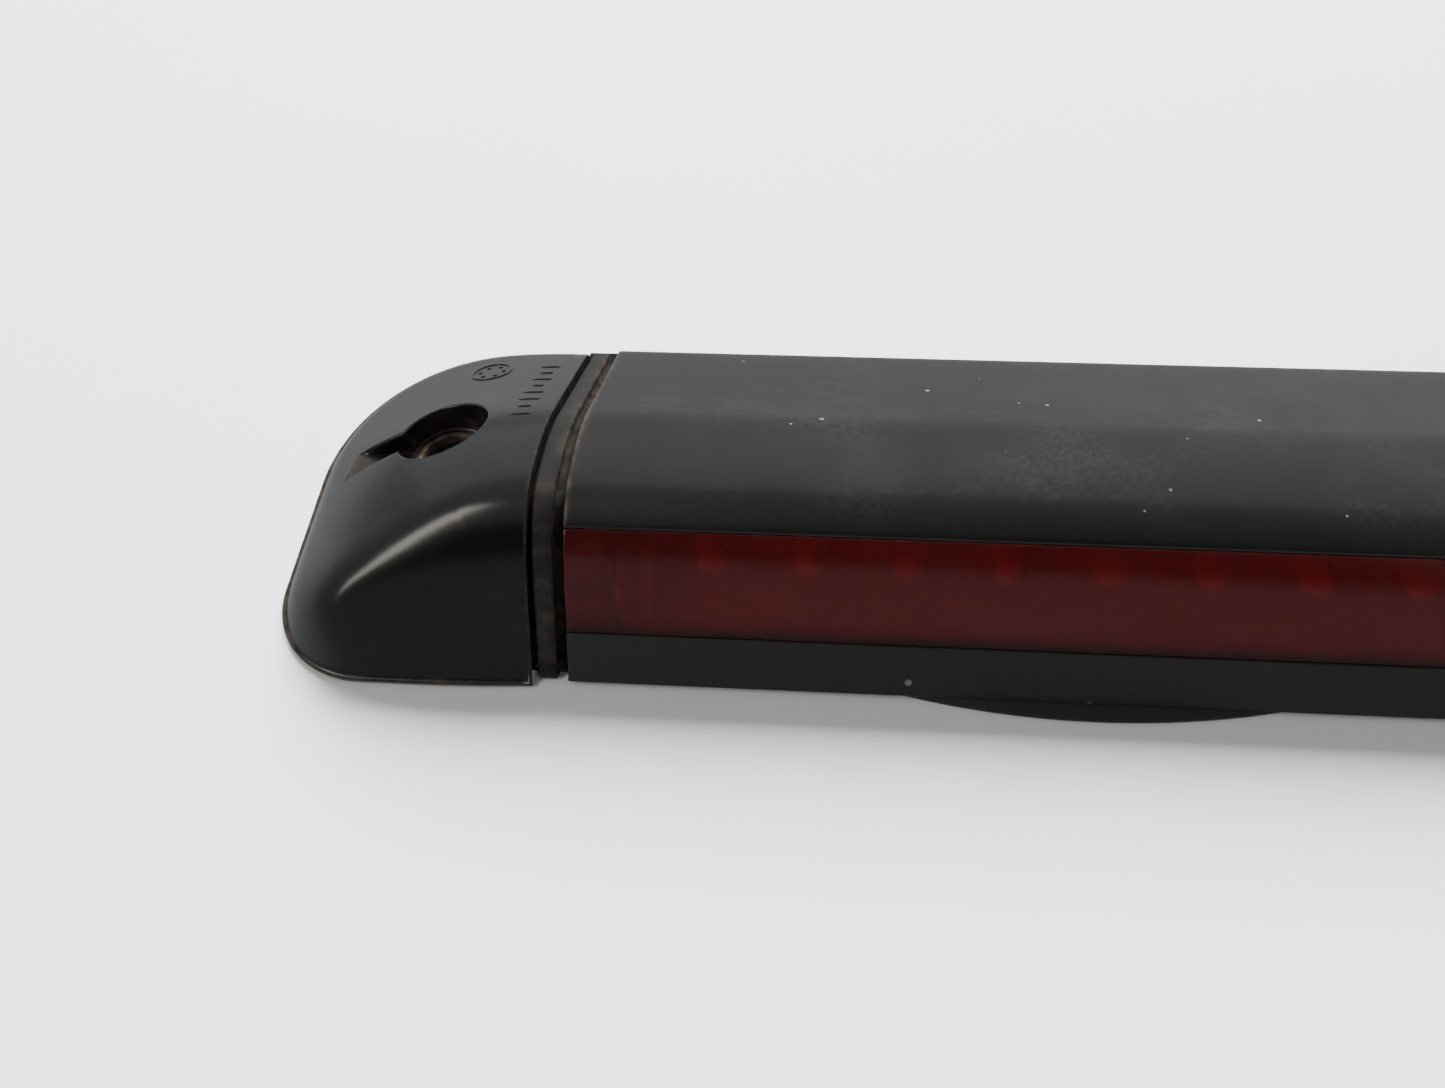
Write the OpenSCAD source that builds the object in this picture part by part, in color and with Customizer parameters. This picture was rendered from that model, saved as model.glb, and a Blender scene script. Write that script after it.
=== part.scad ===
// LED stop lamp bar: a long black cover with a red window strip in its sloped front,
// a domed cap on each end with a sunk screw pocket, and the lamp's works inside.
// Frame: +X along the bar to its right end, the window faces -Y, +Z up, and the
// origin is at the bottom centre of the whole lamp.

/* [LED row] */
// Number of LEDs behind the window
led_count = 20; // [8:2:24]
// Distance between neighbouring LEDs
led_pitch = 15; // [12:0.5:20]
// From the cover's end to the first LED
led_margin = 21; // [19:0.5:30]
// Diameter of an LED's dome
led_d = 5; // [3:0.5:5]

/* [Bar section] */
// Depth of the bar from front foot to back edge
bar_d = 69.6; // [66:0.2:74]
// Height of the bar's crest
bar_h = 23.4; // [22:0.2:26]
// Lean of the front face from level, in degrees
front_lean = 57; // [52:1:62]
// Distance of the crest behind the front foot
crest_y = 21; // [19:0.5:23]
// Radius of the roof behind the crest
roof_r = 40; // [36:1:48]
// Final fall of the roof towards the back, in degrees
roof_fall = 28.5; // [26:0.5:30]
// Thickness of the cover and the window
skin = 2.2; // [1.6:0.1:2.6]

/* [Window] */
// Front to back place of the window's lower edge
window_y0 = 5.2; // [4:0.2:7]
// Front to back place of the window's upper edge
window_y1 = 15; // [13:0.5:16]

/* [End caps] */
// Length of a cap beyond the cover's end
cap_l = 48.1; // [44:0.5:56]
// Radius of the cap's front corner in plan
cap_front_r = 12; // [9:0.5:14]
// Radius of the cap's back corner in plan
cap_back_r = 29; // [24:0.5:32]
// Thickness of the cap
cap_skin = 2.4; // [2:0.1:3]
// Swell of the cap in front of and behind the bar
cap_swell = 0.6; // [0.2:0.1:1]

/* [Screw places] */
// Distance of the mounting screw beyond the cover's end
screw_out = 23.2; // [22:0.2:25]
// Distance of the mounting screw behind the front foot
screw_y = 36.5; // [34:0.5:38]
// Radius of the pocket that the screw head goes into
pocket_r = 7.3; // [6.4:0.1:7.6]
// Width of the drain slot that leads out of the pocket
slot_w = 5.2; // [3:0.2:6]
// Turn of the drain slot towards the front, in degrees
slot_turn = 8; // [0:1:30]
// Height of the pocket's ledge
pocket_z = 9; // [8:0.5:10]
// Radius of the mounting screw's hole
screw_hole_r = 3.25; // [2.7:0.05:3.5]

/* [Underside] */
// How far the pad's lips stand out in front of the cover
lip_out = 1.8; // [1:0.2:3]
// Length of a lip along the front edge
lip_l = 43; // [30:1:60]
// From the cover's end to the middle of a lip
lip_x = 78; // [50:1:90]
// Thickness of the pad under the bar
pad_t = 1; // [0.8:0.1:1]

/* [Hidden] */

EPS = 0.01;
GAP = 0.05;
BORE_FN = 64;
half_l = led_margin + led_pitch * (led_count - 1) / 2;
depth = lip_out + bar_d + cap_swell;
front_y = lip_out - depth / 2;

// Section: where the front plane, the roof and the back edge meet, each joint rounded
roof_tan = tan(roof_fall);
front_tan = tan(front_lean);
back_tan = 4;
side_tan = 2.2;
round_share = 0.41;
bar_foot = 1;
cap_foot = 0.5;

// Places along the bar, measured outwards from the cover's end
gasket_in = 1.6;
gasket_out = 4.7;
cap_in = 5.4;
swell_run = 18;
dome_edge = 2;
dome_power = 2.1;

// Pegs of an end bracket, as depth and height, and the depths of its screws
pegs = [[19, 12], [44, 9]];
peg_r = 2;
bracket_screw_ys = [16, 46];

// Heights inside the bar
plate_z0 = 1.2;
plate_t = 2;
plate_z1 = plate_z0 + plate_t;
plate_back = bar_d - 6.2;
holder_t = 1.4;
holder_wall_y = 22.5;
holder_h = 11;
led_z = 8.7;
board_y = 25;
board_t = 1.6;
board_h = 9.6;
board_l = 2 * half_l - 27;
foot_screw_y = 29.6;
foot_screw_xs = [-120, -40, 40, 120];
board_screw_xs = [for (i = [-1.5:1:1.5]) i * 4 * led_pitch];

// Connector
socket_y = 42;
socket_w = 17;
socket_d = 8.4;
socket_wall = 2;
socket_h = 9.6;
socket_z0 = 0.8;
pin_pitch = 8;
pin_z = [5.2, 13];
lead_z = 11.8;

// Blend of two heights: the lower one, with the joint rounded over a span k
function soft_min(a, b, k) =
    let (h = max(k - abs(a - b), 0) / k) min(a, b) - h * h * k / 4;
function ease(q) = sin(90 * min(1, max(0, (q - gasket_out) / swell_run)));

// Height of the roof above the foot at depth y, before any rounding
roof_turn_y = crest_y + roof_r * sin(roof_fall);
roof_turn_z = bar_h - roof_r * (1 - cos(roof_fall));
function roof(y) =
    y <= crest_y ? bar_h :
    y <= roof_turn_y ? bar_h - roof_r + sqrt(roof_r * roof_r - pow(y - crest_y, 2)) :
    roof_turn_z - roof_tan * (y - roof_turn_y);
// Height of the bar's surface at depth y, sunk by d at right angles to it
function bar_z(y, d = 0) =
    let (top = roof(y) - d * 1.07, front = front_tan * y - d / cos(front_lean))
    min(soft_min(front, top, round_share * bar_h), back_tan * (bar_d - y));

// Plan outline of a cap: how far it reaches out at depth y
corner_q = cap_l - cap_front_r;
corner_y = cap_front_r - cap_swell;
sweep_q = cap_l - cap_back_r;
sweep_y = bar_d + cap_swell - cap_back_r;
function cap_reach(y) =
    y < corner_y ? corner_q + sqrt(max(0, pow(cap_front_r, 2) - pow(corner_y - y, 2))) :
    y > sweep_y ? sweep_q + sqrt(max(0, pow(cap_back_r, 2) - pow(y - sweep_y, 2))) :
    cap_l;
// Distance inside that outline, and the height of the wall that leans in from it
function wall_z(q, y, d) =
    q > corner_q && y < corner_y ?
        let (turn = atan2(q - corner_q, corner_y - y) / 90,
             slope = front_tan + (side_tan - front_tan) * turn)
        slope * (cap_front_r - d - norm([q - corner_q, y - corner_y])) :
    q > sweep_q && y > sweep_y ?
        let (turn = atan2(y - sweep_y, q - sweep_q) / 90,
             slope = side_tan + (back_tan - side_tan) * turn)
        slope * (cap_back_r - d - norm([q - sweep_q, y - sweep_y])) :
    min(front_tan * (y + cap_swell * ease(q) - d), side_tan * (cap_l - d - q),
        back_tan * (bar_d + cap_swell * ease(q) - y - d));
function dome_z(q, y) =
    let (t = min(1, max(0, q - gasket_out) / (max(cap_reach(y), q + EPS) - gasket_out)))
    dome_edge + (roof(y) - dome_edge) * (1 - pow(t, dome_power));
function cap_z(q, y, d = 0) =
    let (top = dome_z(q, y) - d * 1.15, wall = wall_z(q, y, d * 0.85))
    soft_min(wall, top, round_share * max(top, EPS));

// How far the outline of a cap, sunk by d, lies from its hub in direction a
hub = [20, 34];
function inside(p, d) =
    p[0] > corner_q && p[1] < corner_y ? norm(p - [corner_q, corner_y]) < cap_front_r - d :
    p[0] > sweep_q && p[1] > sweep_y ? norm(p - [sweep_q, sweep_y]) < cap_back_r - d :
    p[0] < cap_l - d && p[0] > -2 && p[1] > d - cap_swell * ease(p[0])
        && p[1] < bar_d + cap_swell * ease(p[0]) - d;
function reach(a, d, near = 0, far = 70, left = 18) =
    left == 0 ? near :
    let (mid = (near + far) / 2, p = hub + mid * [cos(a), sin(a)])
    inside(p, d) ? reach(a, d, mid, far, left - 1) : reach(a, d, near, mid, left - 1);

module place() {
    translate([0, front_y, 0]) children();
}

// A shape drawn in [depth, height] and run along X from x0 to x1
module run_x(x0, x1) {
    translate([x0, 0, 0]) rotate([90, 0, 90]) linear_extrude(x1 - x0) children();
}

// Left-hand things are drawn outwards along +X from the cover's end, then turned over
module at_end(side) {
    mirror([side < 0 ? 1 : 0, 0, 0]) translate([half_l, front_y, 0]) children();
}

// The bar's section, sunk by d, from depth y0 to y1 and down to height z0
module section(d, y0, y1, z0) {
    steps = 44;
    polygon(concat(
        [[y1, z0], [y0, z0]],
        [for (i = [0:steps]) let (y = y0 + (y1 - y0) * i / steps)
            if (bar_z(y, d) > z0 + EPS) [y, bar_z(y, d)]]));
}

// A point d below the bar's face at depth y, at right angles to the face
function face_point(y, d) =
    let (rise = y < crest_y / 2 ? front_tan : (bar_z(y + 0.1) - bar_z(y - 0.1)) / 0.2)
    [y, bar_z(y)] + d * [rise, -1] / norm([rise, 1]);
function face_line(y0, y1, d, steps = 14) =
    [for (i = [0:steps]) face_point(y0 + (y1 - y0) * i / steps, d)];

// Where the front wall, d below its face, stands on its foot
function foot_point(d) = [(bar_foot + d / cos(front_lean)) / front_tan, bar_foot];

// The strip of the skin's section between depths y0 and y1, from d0 to d1 below the face
module skin_strip(y0, y1, d0, d1) {
    polygon(concat(face_line(y0, y1, d0), face_line(y1, y0, d1)));
}

module cover() color([0.07, 0.07, 0.075]) place() {
    inner_back = plate_back + 0.3;
    difference() {
        run_x(-half_l, half_l) difference() {
            section(0, window_y1 - 4, bar_d, bar_foot);
            section(skin, 0, inner_back, bar_foot - 1);
            skin_strip(window_y1 - 8, window_y1, -4, 6);
        }
        run_x(-half_l - 1, half_l + 1) square([window_y1 - 3, bar_h - 6]);
    }
}

// The window's lower edge is thinned behind the front strip
module window() color([0.45, 0.02, 0.03, 0.6]) place() run_x(-half_l, half_l)
    polygon(concat(
        face_line(window_y0, window_y1 - GAP, 0),
        face_line(window_y1 - GAP, window_y0, skin),
        [foot_point(skin), foot_point(skin / 2), face_point(window_y0, skin / 2)]));

module front_strip() color([0.05, 0.05, 0.05]) place() run_x(-half_l, half_l)
    polygon([foot_point(0), face_point(window_y0 - GAP, 0),
        face_point(window_y0 - GAP, skin / 2 - GAP), foot_point(skin / 2 - GAP)]);

module base_plate() color([0.1, 0.1, 0.1]) place() difference() {
    union() {
        translate([-half_l + 0.4, 5.4, plate_z0]) cube([2 * half_l - 0.8, plate_back - 5.4, plate_t]);
        for (y = [50.5, 57])
            translate([-half_l + 14, y, plate_z1 - EPS]) cube([2 * half_l - 28, 1.6, 60.5 - y > 4 ? 4 : 1.6]);
        for (x = foot_screw_xs)
            translate([x, foot_screw_y + 6, plate_z1 - EPS]) cylinder(h = 3, r = 2.4, $fn = BORE_FN);
    }
    translate([-socket_w / 2 - socket_wall - GAP, socket_y - socket_d / 2 - socket_wall - GAP, 0])
        cube([socket_w + 2 * (socket_wall + GAP), socket_d + 2 * (socket_wall + GAP), 6]);
    for (x = foot_screw_xs)
        translate([x, foot_screw_y, 0]) cylinder(h = 6, r = 1.6, $fn = BORE_FN);
    for (x = [-1, 1], y = bracket_screw_ys)
        translate([x * (half_l - 3), y, 0]) cylinder(h = 6, r = 1.4, $fn = BORE_FN);
    translate([100, socket_y, 0]) cylinder(h = 6, r = 3.1, $fn = BORE_FN);
}

module led_holder() color([0.2, 0.02, 0.03]) place() difference() {
    holder_x = half_l - 7;
    union() {
        translate([-holder_x, 9, plate_z1]) cube([2 * holder_x, holder_wall_y - 9 + EPS, holder_t]);
        translate([-holder_x, holder_wall_y, plate_z1]) cube([2 * holder_x, holder_t, holder_h]);
        translate([-holder_x, holder_wall_y + holder_t - EPS, plate_z1]) cube([2 * holder_x, 9, 1.3]);
        for (side = [-1, 1], rib = [0, 4.2])
            translate([side * (holder_x - 0.6 - rib) - 0.6, 11, plate_z1])
                cube([1.2, holder_wall_y - 11 + EPS, holder_h - 2]);
    }
    for (i = [0:led_count - 1])
        translate([(i - (led_count - 1) / 2) * led_pitch, holder_wall_y - 1, led_z])
            rotate([-90, 0, 0]) cylinder(h = 4, r = led_d / 2 + 0.2, $fn = BORE_FN);
    for (x = board_screw_xs)
        translate([x, holder_wall_y - 1, led_z])
            rotate([-90, 0, 0]) cylinder(h = 4, r = 1, $fn = BORE_FN);
    for (x = foot_screw_xs)
        translate([x, foot_screw_y, 0]) cylinder(h = 6, r = 1.3, $fn = BORE_FN);
}

module led_board() color([0.1, 0.3, 0.12]) place() difference() {
    translate([-board_l / 2, board_y, plate_z1 + 1.6]) cube([board_l, board_t, board_h]);
    for (i = [0:led_count - 1], leg = [-1.27, 1.27])
        translate([(i - (led_count - 1) / 2) * led_pitch + leg, board_y - 1, led_z])
            rotate([-90, 0, 0]) cylinder(h = 4, r = 0.45, $fn = 24);
    for (x = board_screw_xs)
        translate([x, board_y - 1, led_z])
            rotate([-90, 0, 0]) cylinder(h = 4, r = 1.1, $fn = BORE_FN);
    for (x = [-1, 1])
        translate([x * pin_pitch / 2, board_y - 1, lead_z])
            rotate([-90, 0, 0]) cylinder(h = 4, r = 1, $fn = BORE_FN);
}

module leds() color([0.75, 0.05, 0.05]) place()
    for (i = [0:led_count - 1])
        translate([(i - (led_count - 1) / 2) * led_pitch, board_y - GAP, led_z]) {
            rotate([90, 0, 0]) rotate_extrude($fn = 48) union() {
                square([led_d / 2 + 0.5, 0.9]);
                square([led_d / 2, 6]);
                translate([0, 6]) intersection() {
                    circle(r = led_d / 2);
                    square(led_d);
                }
            }
            for (leg = [-1.27, 1.27])
                translate([leg, -EPS, 0]) rotate([-90, 0, 0]) cylinder(h = 2.8, r = 0.3, $fn = 16);
        }

module led_resistors() color([0.12, 0.12, 0.13]) place()
    for (i = [0:2:led_count - 1])
        translate([(i - (led_count - 2) / 2) * led_pitch - 1.6, board_y + board_t, plate_z1 + 2.6])
            cube([3.2, 0.6, 1.6]);

module driver_chips() color([0.06, 0.06, 0.06]) place()
    for (x = [-24, 20])
        translate([x, board_y + board_t, lead_z - 2]) cube([5, 1.9, 4]);

module board_screws() color([0.75, 0.75, 0.77]) place()
    for (x = board_screw_xs)
        translate([x, board_y + board_t, led_z]) {
            rotate([90, 0, 0]) cylinder(h = board_t + 2.2, r = 0.95, $fn = BORE_FN);
            rotate([-90, 0, 0]) cylinder(h = 1.3, r = 2, $fn = BORE_FN);
        }

module holder_screws() color([0.75, 0.75, 0.77]) place()
    for (x = foot_screw_xs)
        translate([x, foot_screw_y, plate_z0]) {
            translate([0, 0, -1]) cylinder(h = 1, r = 2.6, $fn = BORE_FN);
            translate([0, 0, -EPS]) cylinder(h = 5.6, r = 1.25, $fn = BORE_FN);
        }

// Closes the bar's end, and carries the cap on two pegs
module end_bracket(side) color([0.09, 0.09, 0.09]) at_end(side) difference() {
    union() {
        run_x(-6, cap_in) section(skin + 0.4, 6.6, plate_back - 3, plate_z1 + 0.05);
        for (peg = pegs)
            translate([cap_in - 1, peg[0], peg[1]]) rotate([0, 90, 0]) cylinder(h = 6.5, r = peg_r, $fn = BORE_FN);
    }
    run_x(-7, -1) section(skin + 2.2, 9, plate_back - 8, plate_z1 + 2);
    run_x(1, cap_in - 1.2) section(skin + 2.2, 9, plate_back - 8, plate_z1 + 2);
    for (y = bracket_screw_ys)
        translate([-3, y, 0]) cylinder(h = 8, r = 1, $fn = BORE_FN);
}
module end_bracket_left() end_bracket(-1);
module end_bracket_right() end_bracket(1);

module bracket_screws() color([0.75, 0.75, 0.77])
    for (side = [-1, 1], y = bracket_screw_ys)
        at_end(side) translate([-3, y, plate_z0]) {
            translate([0, 0, -1]) cylinder(h = 1, r = 2.4, $fn = BORE_FN);
            translate([0, 0, -EPS]) cylinder(h = 4, r = 0.98, $fn = BORE_FN);
        }

module end_gasket(side) color([0.13, 0.13, 0.13]) at_end(side)
    run_x(gasket_in, gasket_out) difference() {
        section(0.4, 1.2, bar_d - 0.5, bar_foot);
        section(skin + 0.35, 6.5, plate_back - 2.9, plate_z1);
    }
module end_gasket_left() end_gasket(-1);
module end_gasket_right() end_gasket(1);

// A solid dome on the cap's outline, sunk by d and standing on height z0
module cap_dome(d, z0) {
    turns = 60;
    rings = [0.15, 0.35, 0.52, 0.66, 0.78, 0.87, 0.94, 0.98, 1];
    count = len(rings);
    skirt = [for (k = [0:count - 1], i = [0:turns - 1])
        let (a = 360 * i / turns, r = rings[k] * reach(a, d), p = hub + r * [cos(a), sin(a)])
        [p[0], p[1], max(z0 + 0.5, cap_z(p[0], p[1], d))]];
    foot = [for (i = [0:turns - 1])
        let (a = 360 * i / turns, p = hub + reach(a, d) * [cos(a), sin(a)]) [p[0], p[1], z0]];
    top = [hub[0], hub[1], cap_z(hub[0], hub[1], d)];
    points = concat([top], skirt, foot, [[hub[0], hub[1], z0]]);
    last = len(points) - 1;
    function id(k, i) = 1 + k * turns + i % turns;
    polyhedron(points, concat(
        [for (i = [0:turns - 1]) [0, id(0, i + 1), id(0, i)]],
        [for (k = [0:count - 1], i = [0:turns - 1])
            each [[id(k, i), id(k, i + 1), id(k + 1, i + 1)], [id(k, i), id(k + 1, i + 1), id(k + 1, i)]]],
        [for (i = [0:turns - 1]) [last, id(count, i), id(count, i + 1)]]));
}

module end_cap(side) color([0.04, 0.04, 0.045]) at_end(side) {
    boss_r = pocket_r + 2;
    difference() {
        cap_dome(0, cap_foot);
        difference() {
            cap_dome(cap_skin, -2);
            run_x(-4, cap_in + cap_skin) square([bar_d + 5, 40]);
            translate([screw_out, screw_y, bar_foot]) cylinder(h = 30, r = boss_r, $fn = BORE_FN);
            translate([screw_out, screw_y, 6]) rotate([0, 0, -slot_turn])
                translate([0, -slot_w / 2 - 2, 0]) cube([30, slot_w + 4, 20]);
        }
        run_x(-4, cap_in) square([bar_d + 5, 40]);
        for (peg = pegs)
            translate([cap_in - 1, peg[0], peg[1]])
                rotate([0, 90, 0]) cylinder(h = 4, r = peg_r + 0.1, $fn = BORE_FN);
        translate([screw_out, screw_y, pocket_z]) cylinder(h = 30, r = pocket_r, $fn = BORE_FN);
        translate([screw_out, screw_y, 7]) cylinder(h = 30, r = 5.3, $fn = BORE_FN);
        translate([screw_out, screw_y, -2]) cylinder(h = 30, r = 4.7, $fn = BORE_FN);
        translate([screw_out, screw_y, pocket_z]) rotate([0, 0, -slot_turn])
            translate([0, -slot_w / 2, 0]) cube([40, slot_w, 30]);
    }
}
module end_cap_left() end_cap(-1);
module end_cap_right() end_cap(1);

module screw_collar(side) color([0.6, 0.58, 0.5]) at_end(side)
    translate([screw_out, screw_y, bar_foot]) difference() {
        cylinder(h = 6, r = 4.65, $fn = BORE_FN);
        translate([0, 0, -1]) cylinder(h = 8, r = screw_hole_r, $fn = BORE_FN);
    }
module screw_collar_left() screw_collar(-1);
module screw_collar_right() screw_collar(1);

module collar_seal(side) color([0.1, 0.1, 0.1]) at_end(side)
    translate([screw_out, screw_y, 0]) difference() {
        cylinder(h = bar_foot - GAP, r = 8.4, $fn = BORE_FN);
        translate([0, 0, -1]) cylinder(h = 4, r = screw_hole_r + 0.2, $fn = BORE_FN);
    }
module collar_seal_left() collar_seal(-1);
module collar_seal_right() collar_seal(1);

module base_pad() color([0.08, 0.08, 0.08]) place() {
    arc_r = (lip_l * lip_l / 4 + lip_out * lip_out) / (2 * lip_out);
    linear_extrude(pad_t - GAP) difference() {
        union() {
            translate([-half_l + 6, 5.6]) square([2 * half_l - 12, plate_back - 6]);
            for (side = [-1, 1]) intersection() {
                translate([side * (half_l - lip_x), arc_r - lip_out]) circle(r = arc_r, $fn = 360);
                translate([side * (half_l - lip_x) - lip_l, -lip_out - 1]) square([2 * lip_l, 12]);
            }
        }
        translate([-half_l + 12, 11.6]) square([2 * half_l - 24, plate_back - 18]);
    }
}

module inlet_socket() color([0.15, 0.15, 0.16]) place() difference() {
    translate([-socket_w / 2 - socket_wall, socket_y - socket_d / 2 - socket_wall, socket_z0])
        cube([socket_w + 2 * socket_wall, socket_d + 2 * socket_wall, socket_h]);
    translate([-socket_w / 2, socket_y - socket_d / 2, socket_z0 - 1])
        cube([socket_w, socket_d, socket_h - socket_wall + 1]);
    for (x = [-1, 1])
        translate([x * pin_pitch / 2 - 1.45, socket_y - 0.45, 0]) cube([2.9, 0.9, 20]);
}

module socket_pins() color([0.8, 0.72, 0.45]) place()
    for (x = [-1, 1])
        translate([x * pin_pitch / 2 - 1.4, socket_y - 0.4, pin_z[0]])
            cube([2.8, 0.8, pin_z[1] - pin_z[0]]);

module jumper_leads() color([0.5, 0.1, 0.1]) place()
    for (x = [-1, 1])
        translate([x * pin_pitch / 2, board_y + 0.2, lead_z])
            rotate([-90, 0, 0]) cylinder(h = socket_y - board_y - 0.65, r = 0.8, $fn = 32);

module vent_plug() color([0.2, 0.2, 0.2]) place()
    translate([100, socket_y, plate_z0]) rotate_extrude($fn = BORE_FN) union() {
        translate([0, -0.7]) square([5, 0.7]);
        square([3, plate_t]);
        translate([0, plate_t]) square([3.6, 1]);
    }

cover();
window();
front_strip();
base_plate();
led_holder();
led_board();
leds();
led_resistors();
driver_chips();
board_screws();
holder_screws();
end_bracket_left();
end_bracket_right();
bracket_screws();
end_gasket_left();
end_gasket_right();
end_cap_left();
end_cap_right();
screw_collar_left();
screw_collar_right();
collar_seal_left();
collar_seal_right();
base_pad();
inlet_socket();
socket_pins();
jumper_leads();
vent_plug();
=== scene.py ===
"""LED stop lamp bar: the finished surfaces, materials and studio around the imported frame.

Lengths are in millimetres until a mesh is made. A section through the bar is drawn as
[depth behind the front foot, height]; an end cap is drawn as [distance out from the
cover's end, depth behind the front foot, height], and turned over for the left end.
"""
import math

import bpy
import numpy as np
from mathutils import Matrix, Vector


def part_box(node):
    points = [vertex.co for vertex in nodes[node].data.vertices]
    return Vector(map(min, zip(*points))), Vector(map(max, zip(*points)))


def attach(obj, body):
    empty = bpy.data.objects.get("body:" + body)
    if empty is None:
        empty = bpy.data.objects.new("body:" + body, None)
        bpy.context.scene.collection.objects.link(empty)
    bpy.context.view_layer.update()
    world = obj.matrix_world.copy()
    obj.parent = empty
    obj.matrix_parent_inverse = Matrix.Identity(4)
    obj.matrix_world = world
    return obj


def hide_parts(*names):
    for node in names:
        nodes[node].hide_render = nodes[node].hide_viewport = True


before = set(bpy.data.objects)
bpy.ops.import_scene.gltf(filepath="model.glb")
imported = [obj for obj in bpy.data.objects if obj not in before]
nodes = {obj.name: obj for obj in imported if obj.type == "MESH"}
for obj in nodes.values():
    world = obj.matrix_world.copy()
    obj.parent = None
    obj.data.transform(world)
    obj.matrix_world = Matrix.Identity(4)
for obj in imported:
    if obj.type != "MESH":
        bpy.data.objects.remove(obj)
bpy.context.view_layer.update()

MM = 0.001


def box_mm(node):
    """Lowest and highest corner of a frame node, in millimetres."""
    low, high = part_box(node)
    return np.array(low) / MM, np.array(high) / MM


# Section of the bar, in millimetres and degrees
BAR_D = 69.6
BAR_H = 23.4
CREST_Y = 21
ROOF_R = 40
FRONT_TAN = math.tan(math.radians(57))
ROOF_FALL = math.radians(28.5)
BACK_TAN = 4
SIDE_TAN = 2.2
ROUND_SHARE = 0.41
SKIN = 2.2
BAR_FOOT = 1
CAP_FOOT = 0.5
WINDOW_Y = (5.2, 15)

# End caps
CAP_L = 48.1
CAP_IN = 5.4
CAP_SKIN = 2.4
FRONT_R = 15.8
BACK_R = 32
SWELL = 0.6
BACK_IN = 0.7
SWELL_FROM = 4.7
SWELL_RUN = 18
DOME_EDGE = 2
DOME_POWER = 2.1
HUB = np.array([23.2, 36.5])
POCKET_Z = 9
POCKET_R = 6.9
POCKET_TOP_R = 7.6
RIM_R = 0.35
EDGE_R = 0.4
RECESS_R = 5.3
BORE_R = 4.7
SHELF_Z = 7
SLOT_W = 5.2
SLOT_TURN = math.radians(8)

# Moulded marks on a cap
MARK_Q = 10.5
MARK_Y = 38
MARK_STEP = 3
MARK_RIBS = (3.6, 2.4, 3.6, 3.6, 2, 3.6, 2.4, 3.6)
MARK_RING = np.array([21, 58])

# Gaskets: how far they lie under the bar's surface, their foot, their rounding and their neck
GASKET_SINK = 0.6
GASKET_FOOT = 0.45
GASKET_ROUND = 0.5
NECK_TOP = 1.3
NECK_LOW = 2.3

# Pad: its front edge and the width of its ring; then its lips
PAD_FRONT = 5.6
PAD_W = 6
LIP_X = 85.5
LIP_L = 43
LIP_OUT = 1.8

HALF_L = box_mm("cover")[1][0]
FRONT_Y = box_mm("front_strip")[0][1] - BAR_FOOT / FRONT_TAN


# ---------------------------------------------------------------- surfaces

def soft_min(a, b, k):
    """The lower of two heights, with their joint rounded by a parabola over a span of k."""
    h = np.maximum(k - np.abs(a - b), 0) / k
    return np.minimum(a, b) - h * h * k / 4


ROOF_TURN_Y = CREST_Y + ROOF_R * math.sin(ROOF_FALL)
ROOF_TURN_Z = BAR_H - ROOF_R * (1 - math.cos(ROOF_FALL))


def roof_z(y):
    """Height of the roof: level to the crest, an arc behind it, then a straight fall."""
    arc = BAR_H - ROOF_R + np.sqrt(np.maximum(ROOF_R ** 2 - (y - CREST_Y) ** 2, 0))
    fall = ROOF_TURN_Z - math.tan(ROOF_FALL) * (y - ROOF_TURN_Y)
    return np.where(y <= CREST_Y, BAR_H, np.where(y <= ROOF_TURN_Y, arc, fall))


def bar_z(y):
    """Height of the bar's face: the front plane and the roof, blended at the crest."""
    return soft_min(FRONT_TAN * y, roof_z(y), ROUND_SHARE * BAR_H)


def face_line(y0, y1, sink, count):
    """Points of the face between depths y0 and y1, moved in by sink along the face's normal."""
    y = np.linspace(y0, y1, count)
    rise = (bar_z(y + 0.05) - bar_z(y - 0.05)) / 0.1
    size = np.hypot(rise, 1)
    sink = np.broadcast_to(sink, y.shape)
    return np.stack([y + sink * rise / size, bar_z(y) - sink / size], axis=1)


CORNER = np.array([CAP_L - FRONT_R, FRONT_R - SWELL])
SWEEP = np.array([CAP_L - BACK_R, BAR_D - BACK_IN - BACK_R])


def swell(q):
    """How far a cap stands proud of the bar, rising as a quarter sine from the joint."""
    return SWELL * np.sin(np.pi / 2 * np.clip((q - SWELL_FROM) / SWELL_RUN, 0, 1))


def cap_reach(y):
    """How far out a cap's plan outline lies at depth y: two corner arcs and a straight side."""
    front = CORNER[0] + np.sqrt(np.maximum(FRONT_R ** 2 - (CORNER[1] - y) ** 2, 0))
    back = SWEEP[0] + np.sqrt(np.maximum(BACK_R ** 2 - (y - SWEEP[1]) ** 2, 0))
    return np.where(y < CORNER[1], front, np.where(y > SWEEP[1], back, CAP_L))


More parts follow.
